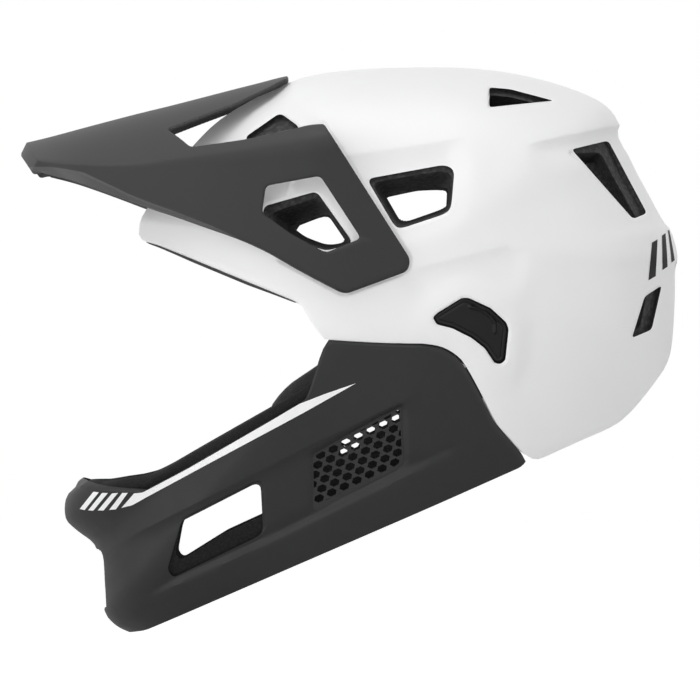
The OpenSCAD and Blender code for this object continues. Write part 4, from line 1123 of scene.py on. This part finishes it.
def apply_nodes(piece, tree, values):
    """Runs a node tree on a piece, with its inputs set by name, and keeps the result as plain mesh."""
    run = piece.modifiers.new("pattern", "NODES")
    run.node_group = tree
    for socket in tree.interface.items_tree:
        if socket.in_out == "INPUT" and socket.name in values:
            run[socket.identifier] = values[socket.name]
    settle(piece)


def hex_net(name, corners, margin, middle, turn, cell, to_place):
    """A plate in its own measures with the lattice cut out, a border round it, and then put in its place."""
    inner = rounded(grown(corners, -hole_lap), border_round / 2, 3)
    outer = rounded(grown(corners, margin), border_round, 3)
    n = len(inner)
    plate, faces = drum(*(np.insert(inner, 2, z, axis=1) for z in (0, mesh_thick)))
    net = mesh_piece(name, plate, [face[::-1] for face in faces], [net_plastic])
    sizes = dict(zip(("Pitch", "Row Gap", "Hole Long", "Hole Tall"), (size * mm for size in cell)))
    apply_nodes(net, lattice, {**sizes, "Deep": 0.01, "Turn": turn, "Plastic": net_plastic,
                               "Middle": (middle[0] * mm, middle[1] * mm, 0)})
    with edited(net.data) as bm:
        rings = [[bm.verts.new((x * mm, y * mm, z * mm)) for x, y in path]
                 for path, z in ((inner, 0), (outer, 0), (outer, mesh_thick), (inner, mesh_thick))]
        for ring, beyond in zip(rings, rings[1:] + rings[:1]):
            for i in range(n):
                bm.faces.new((ring[i], ring[(i + 1) % n], beyond[(i + 1) % n], beyond[i]))
        for vert in bm.verts:
            vert.co = to_place(np.array(vert.co) * in_mm) * mm
    clean_edges(net, 25)
    for polygon in net.data.polygons:
        polygon.material_index = 0
    return net


net_middle = np.array([[-27.0, -100.0]])
pitch_angle, yaw_angle, net_depth = math.radians(14), math.radians(1.6), guard_wall + 1.6


def turned(a, b, angle):
    """Two of three coordinates turned about the third axis by an angle."""
    return a * math.cos(angle) - b * math.sin(angle), a * math.sin(angle) + b * math.cos(angle)


def on_side(side):
    """How a spot of a flat net gets behind the window of one side."""
    start = skin(net_middle, -1, 0)[0]

    def to_place(point):
        x, y, z = point[0] - net_middle[0, 0], net_depth + mesh_thick - point[2], point[1] - net_middle[0, 1]
        y, z = turned(y, z, pitch_angle)
        x, y = turned(x, y, yaw_angle)
        return np.array([start[0] + x, -side * (start[1] + y), start[2] + z])

    return to_place


# Each cell: pitch along a row, gap between rows, hole's length and height
side_cell, mouth_cell = (7.24, 4.1, 5.7, 3.8), (6.4, 5.5, 5.6, 4.7)
for side, node in ((-1, "side_mesh_left"), (1, "side_mesh_right")):
    net = hex_net("net_left" if side < 0 else "net_right", MESH_CORNERS, 2.4, (-23.1, -97.3),
                  math.radians(26.2), side_cell, on_side(side))
    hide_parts(node)
    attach(net, "chin_guard")
net = hex_net("net_mouth", MOUTH_CORNERS, 2, (0, -165), 0.0, mouth_cell,
              lambda point: np.array([-150.2 + point[2], point[0], point[1]]))
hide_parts("front_mesh")
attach(net, "chin_guard")

# Release buttons
# A black moulded button over each latch, with a fine groove inside its rim; pressing it frees the chin guard.
# It lies flush with the shell in its hole, and a flange behind the shell keeps it in.
button_plastic = cloudy("button_plastic", 0.38, (0.007, 0.0072), (0.010, 0.0102), (30,),
                        grain=(1200, 1, 0.08, 0.0003), more={"Specular IOR Level": 0.22})
BUTTON_FACE = grown(BUTTON_HOLE, -0.3)
FLANGE = grown(BUTTON_HOLE, 1.4)
FINGER_RIB = [(31, -22), (36.5, -23.4), (41, -26.6), (43.5, -30.5), (43.6, -35), (43.5, -30.6), (41, -26.7),
              (36.5, -23.5)]
face_depth, flange_depth, button_back = 0.4, 4.1, 5.5
groove_deep, rib_tall = 0.5, 1.4


def button_part(name, outline, side, outer_depth, fine):
    """One layer of a button inside an outline; a fine one has the groove, the rib and a round rim."""
    def face(measures):
        inside = -edge_distance(measures, outline)
        if not fine:
            return skin(measures, side, np.full(len(measures), outer_depth))
        groove = groove_deep * np.exp(-((inside - 2.1) / 0.4) ** 2)
        rib = rib_tall * np.exp(-(edge_distance(measures, FINGER_RIB) / 0.8) ** 2)
        return skin(measures, side, outer_depth + groove - rib + lip(inside, 1.1))

    def back(measures):
        return skin(measures, side, np.full(len(measures), button_back))

    def near(measures):
        rib_gap = np.abs(edge_distance(measures, FINGER_RIB)) + 1
        return np.minimum(np.abs(edge_distance(measures, outline)), rib_gap)

    xs, zs = np.linspace(6, 56, 52), np.linspace(-56, -13, 46)
    points, faces = walled(xs, zs, face, back, near, [4, 2.6] if fine else [])
    part = mesh_piece(name, points, faces, [button_plastic])
    points, faces = prism(outline, far=125, near=60, side=side)
    cut_by(part, mesh_piece(name + "_die", points, faces, part.data.materials), "INTERSECT", 30)
    return part


for side, body in ((-1, "button_left"), (1, "button_right")):
    button = button_part(body + "_cap", BUTTON_FACE, side, face_depth, True)
    flange = button_part(body + "_flange", FLANGE, side, flange_depth, False)
    with edited(button.data) as bm:
        bm.from_mesh(flange.data)
    bpy.data.objects.remove(flange)
    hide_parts("release_" + body)
    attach(button, body)

# Moulded small parts
# Latches, hooks, bushes, pins, the fit system, the strap's fastenings and the buckle, all moulded nylon.
# Each keeps its measured form; its edges are broken as a mould leaves them.
nylon = cloudy("nylon", 0.48, (0.016, 0.0165), (0.023, 0.0235), (22, 3), (120, 0.4, 0.56),
               (1400, 1, 0.1, 0.0003))


def measured(node, name, material):
    """A copy of a node's measured form in one material, with its doubled points merged."""
    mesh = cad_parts[node].data.copy()
    mesh.name = name
    mesh.materials.clear()
    mesh.materials.append(material)
    with edited(mesh) as bm:
        bmesh.ops.remove_doubles(bm, verts=bm.verts, dist=1e-5)
    return linked(name, mesh)


def broken_edges(node, name, width, body):
    """A node's measured form with its edges bevelled, standing for that node."""
    piece = measured(node, name, nylon)
    with edited(piece.data) as bm:
        bmesh.ops.dissolve_limit(bm, angle_limit=math.radians(1), verts=bm.verts, edges=bm.edges)
    bevel = piece.modifiers.new("edges", "BEVEL")
    bevel.width = width * mm
    bevel.segments = 2
    bevel.limit_method = "ANGLE"
    bevel.angle_limit = math.radians(35)
    settle(piece)
    with edited(piece.data) as bm:
        shade(bm, 40)
        for face in bm.faces:
            face.material_index = 0
        bmesh.ops.triangulate(bm, faces=[face for face in bm.faces if len(face.verts) > 4])
    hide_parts(node)
    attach(piece, body)


for side in ("left", "right"):
    broken_edges("latch_" + side, "latch_box_" + side, 0.3, "helmet")
    broken_edges("hook_" + side, "guard_hook_" + side, 0.4, "chin_guard")
    broken_edges("fit_band_" + side, "head_band_" + side, 0.2, "band_" + side)
broken_edges("visor_bushes", "pivot_bushes", 0.25, "helmet")
broken_edges("visor_pins", "pivot_pins", 0.25, "visor")
broken_edges("fit_housing", "rack_housing", 0.5, "helmet")
broken_edges("fit_cover", "rack_cover", 0.4, "helmet")
broken_edges("fit_dial", "dial_wheel", 0.2, "dial")
broken_edges("strap_anchors", "strap_buttons", 0.4, "helmet")
broken_edges("strap_dividers", "strap_sliders", 0.6, "helmet")
broken_edges("buckle_socket", "buckle_box", 0.8, "helmet")
broken_edges("buckle_tongue", "buckle_prongs", 0.6, "buckle_tongue")

# Return springs
# A coil of bright spring steel between each release button and its latch.
# In the helmet it shortens as the button goes in; here it is built at one length, its measured room less some
# play.
bright_steel = cloudy("bright_steel", 0.25, (0.52, 0.53), (0.62, 0.63), (90,), more={"Metallic": 1})
coils, coil_radius, wire, coil_play = 5, 2.6, 0.4, 1.4


def tube(path, radius, sides):
    """A closed round wire along a path of points."""
    path = np.array(path)
    ways = np.gradient(path, axis=0)
    ways /= np.linalg.norm(ways, axis=1)[:, None]
    aside = np.cross(ways, [0.31, 0.11, 0.94])
    aside /= np.linalg.norm(aside, axis=1)[:, None]
    up = np.cross(ways, aside)
    points = np.stack([path + radius * (aside * math.cos(a) + up * math.sin(a))
                       for a in np.arange(sides) * 2 * math.pi / sides], axis=1).reshape(-1, 3)
    return points, tube_faces(sides, len(path))


for side, name in ((-1, "left"), (1, "right")):
    low, high = (np.array(corner) * in_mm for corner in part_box("button_spring_" + name))
    middle = (low + high) / 2
    turns = np.linspace(0, 1, coils * 16 + 1)
    length = high[1] - low[1] - coil_play
    spin = turns * coils * 2 * math.pi
    coil = np.stack([middle[0] + coil_radius * np.cos(spin), middle[1] + side * (0.5 - turns) * length,
                     middle[2] + coil_radius * np.sin(spin)], -1)
    points, faces = tube(coil, wire, 8)
    spring = mesh_piece("coil_spring_" + name, points, faces, [bright_steel], sharp=70)
    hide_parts("button_spring_" + name)
    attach(spring, "helmet")
    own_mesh(spring)

# Chin straps
# Woven polyester webbing: two legs a side from buttons in the foam to a slider, then one strap to the buckle.
# The weave is a fine herringbone that follows each strap's own measures along and across it.
webbing, surface = finish("webbing", {"Roughness": 0.8})[:2]
tree = surface.id_data
measure = tree.nodes.new("ShaderNodeUVMap")
measure.uv_map = "along_and_across"
twills = []
for lean in (1, -1):
    leant = add_node(tree, "ShaderNodeMapping",
                     {"Rotation": (0, 0, lean * math.radians(38)), "Vector": measure.outputs["UV"]})
    twill = add_node(tree, "ShaderNodeTexWave", {"Scale": 320, "Vector": leant.outputs[0]})
    twills.append(twill.outputs["Color"])
# The two twills take turns across the strap, each 2.7 mm wide
across = add_node(tree, "ShaderNodeSeparateXYZ", {0: measure.outputs["UV"]}).outputs["Y"]
twill_wide = 0.0027
turn_taken = maths(tree, "GREATER_THAN", maths(tree, "PINGPONG", across, twill_wide), twill_wide / 2)
weave = add_node(tree, "ShaderNodeMixRGB", {"Fac": turn_taken, "Color1": twills[0], "Color2": twills[1]})
weave = weave.outputs[0]
feed(surface, {"Base Color": two_tones(weave, (0.010, 0.0105), (0.034, 0.035), 0.15, 0.85)})
raised(surface, weave, 0.5, 0.0004)
strap_width, strap_thick = 16.0, 1.6
# Legs and lower strap: points of the path, and the way across the webbing at each
REAR_LEG = [(52, -65.9, -24), (43, -69.7, -48), (28, -74, -68), (11.6, -70.4, -80), (11, -70, -85.5)]
REAR_ACROSS = [(1, 0.49, 0.3), (1, 0.37, 0.4), (1, 0.22, 0.4), (1, 0.1, 0), (1, 0.05, 0)]
FRONT_LEG = [(2, -77.4, -18), (8, -77.1, -45), (8, -76, -68), (5.2, -72.8, -80), (5, -72.3, -85.5)]
FRONT_ACROSS = [(1, 0.05, 0)] * 5
LOWER_STRAP = [(7, -70.8, -98.7), (6.7, -70.4, -102), (1, -67.5, -108), (-9, -62.5, -117), (-23, -50, -128),
               (-35, -34, -136)]
LOWER_ACROSS = [(1, 0, 0)] * 2 + [(1, 0, 0.1)] * 6
WEB_CORNER = [(0.8, 1), (0.94, 0.94), (0.985, 0.62), (1, 0.2)]
WEB_PROFILE = ([(-x, y) for x, y in WEB_CORNER[::-1]] + WEB_CORNER
               + [(x, -y) for x, y in WEB_CORNER[::-1]] + [(-x, -y) for x, y in WEB_CORNER])


def web_strip(path, across, side, steps=7):
    """A strap's points, faces and measures along a path."""
    line = smooth_path(path, steps)
    wide = smooth_path(across, steps)
    run = np.gradient(line, axis=0)
    run /= np.linalg.norm(run, axis=1)[:, None]
    wide = wide - (wide * run).sum(1)[:, None] * run
    wide /= np.linalg.norm(wide, axis=1)[:, None]
    flat = np.cross(run, wide)
    marks = np.concatenate([[0], np.cumsum(np.linalg.norm(np.diff(line, axis=0), axis=1))])
    points = np.stack([line + wide * u * strap_width / 2 + flat * v * strap_thick / 2
                       for u, v in WEB_PROFILE], axis=1).reshape(-1, 3)
    points[:, 1] *= -side
    measures = [(mark * mm, u * strap_width * 0.0005) for mark in marks for u, v in WEB_PROFILE]
    return points, tube_faces(len(WEB_PROFILE), len(line)), measures


def web_piece(name, strips):
    """A piece of several strips, with their measures along and across kept for the weave."""
    points, faces = joined([strip[:2] for strip in strips])
    measures = sum((strip[2] for strip in strips), [])
    mesh = bpy.data.meshes.new(name)
    mesh.from_pydata(np.array(points) * mm, [], faces)
    layer = mesh.uv_layers.new(name="along_and_across")
    for loop in mesh.loops:
        layer.data[loop.index].uv = measures[loop.vertex_index]
    mesh.materials.append(webbing)
    with edited(mesh) as bm:
        bmesh.ops.recalc_face_normals(bm, faces=bm.faces)
        for face in bm.faces:
            face.smooth = len(face.verts) == 4
    return linked(name, mesh)


tongue_end, socket_end = -19.0, 23.0
for side, end_y in ((-1, tongue_end), (1, -socket_end)):
    node = "strap_left" if side < 0 else "strap_right"
    ends = [(-42, end_y - 5, -139), (-42, end_y, -139)]
    legs = web_piece(node + "_legs", [web_strip(REAR_LEG, REAR_ACROSS, side),
                                      web_strip(FRONT_LEG, FRONT_ACROSS, side)])
    lower = web_piece(node + "_lower", [web_strip(LOWER_STRAP + ends, LOWER_ACROSS, side)])
    for piece in (legs, lower):
        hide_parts(node)
    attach(legs, "helmet")
    if side < 0:
        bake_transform(lower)
    else:
        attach(lower, "helmet")

# Pads
# Brushed black polyester sewn over soft foam: cheek pads on the chin guard, a brow pad and three crown pads.
# Each swells a little between its seams by a short cloth simulation.
# The seam of the cheek pads' side band is drawn in after it.
pad_cloth = cloudy("pad_cloth", 0.92, (0.018, 0.0185), (0.030, 0.031), (45, 4),
                   more={"Sheen Weight": 0.12, "Sheen Roughness": 0.5})
surface = pad_cloth.node_tree.nodes["Principled BSDF"]
raised(surface, cells_at(pad_cloth.node_tree.nodes["Texture Coordinate"].outputs["Object"], 900), 0.5, 0.0005)
cloth_pressure, cloth_frames, padded_fill = 4, 20, 0.75


def spots_of(mesh):
    """A mesh's coordinates, one after another."""
    spots = np.empty(len(mesh.vertices) * 3)
    mesh.vertices.foreach_get("co", spots)
    return spots


def blow_out(pad, cap):
    """Moves a pad's points as cloth under pressure does, by no more than a cap."""
    rest = spots_of(pad.data)
    cloth = pad.modifiers.new("fill", "CLOTH")
    cloth.settings.use_pressure = True
    cloth.settings.uniform_pressure_force = cloth_pressure
    cloth.settings.effector_weights.gravity = 0
    cloth.point_cache.frame_start, cloth.point_cache.frame_end = 1, cloth_frames
    for number in range(1, cloth_frames + 1):
        scene.frame_set(number)
    swollen = spots_of(pad.evaluated_get(bpy.context.evaluated_depsgraph_get()).data)
    pad.modifiers.clear()
    scene.frame_set(1)
    move = (swollen - rest).reshape(-1, 3)
    far = np.linalg.norm(move, axis=1)
    move *= np.minimum(1, cap * mm / np.maximum(far, 1e-9))[:, None]
    pad.data.vertices.foreach_set("co", rest + move.ravel())
    print(pad.name, "moved up to %.1f mm before the cap" % (far.max() * in_mm))


def filled_pad(node, name, voxel, shrink, cap, seam=None, shape=None):
    """A pad from its measured form: made slightly smaller, remeshed, then blown out by cloth pressure."""
    pad = measured(node, name, pad_cloth)
    with edited(pad.data) as bm:
        bmesh.ops.recalc_face_normals(bm, faces=bm.faces)
        bm.normal_update()
        for vert, way in [(vert, vert.normal.copy()) for vert in bm.verts]:
            vert.co -= way * shrink * mm
            if shape:
                vert.co = shape(np.array(vert.co) * in_mm) * mm
    again = pad.modifiers.new("again", "REMESH")
    again.mode = "VOXEL"
    again.voxel_size = voxel * mm
    settle(pad)
    blow_out(pad, cap)
    finer = pad.modifiers.new("finer", "SUBSURF")
    finer.levels = finer.render_levels = 1
    settle(pad)
    with edited(pad.data) as bm:
        bm.normal_update()
        if seam:
            drawn = seam(np.array([vert.co for vert in bm.verts]) * in_mm)
            for vert, way, deep in zip(bm.verts, [vert.normal.copy() for vert in bm.verts], drawn):
                vert.co -= way * deep * mm
        for face in bm.faces:
            face.smooth = True
            face.material_index = 0
    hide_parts(node)
    return pad


def lining_half(p, depth):
    """Half the width that is left inside a lining at a depth."""
    out = p / (1 - depth / reach(p))[:, None]
    return half_at(out) * (1 - depth / body_half)


cheek_depth, cheek_thick = guard_depth + guard_foam + 1.1, 19.0


def side_band(spots):
    """The seam where the pad's face meets its side band, a shallow round channel."""
    level = (lining_half(spots[:, [0, 2]], cheek_depth) - np.abs(spots[:, 1])) / cheek_thick
    return 0.9 * np.exp(-((level - 0.66) / 0.05) ** 2)


def short_front(spot):
    """Draws the pad's front end back along the arm."""
    arm = np.array([-0.87, 0, -0.49])
    beyond = max(0, spot @ arm - 84)
    return spot - arm * beyond * 0.5


for side in ("left", "right"):
    pad = filled_pad("cheek_pad_" + side, "cheek_cushion_" + side, 3.4, 1.4, 3.0, side_band, short_front)
    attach(pad, "chin_guard")
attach(filled_pad("brow_pad", "brow_cushion", 2.4, 0.8, 1.6), "helmet")
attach(filled_pad("crown_pads", "crown_cushions", 2.6, 0.8, 1.8), "helmet")
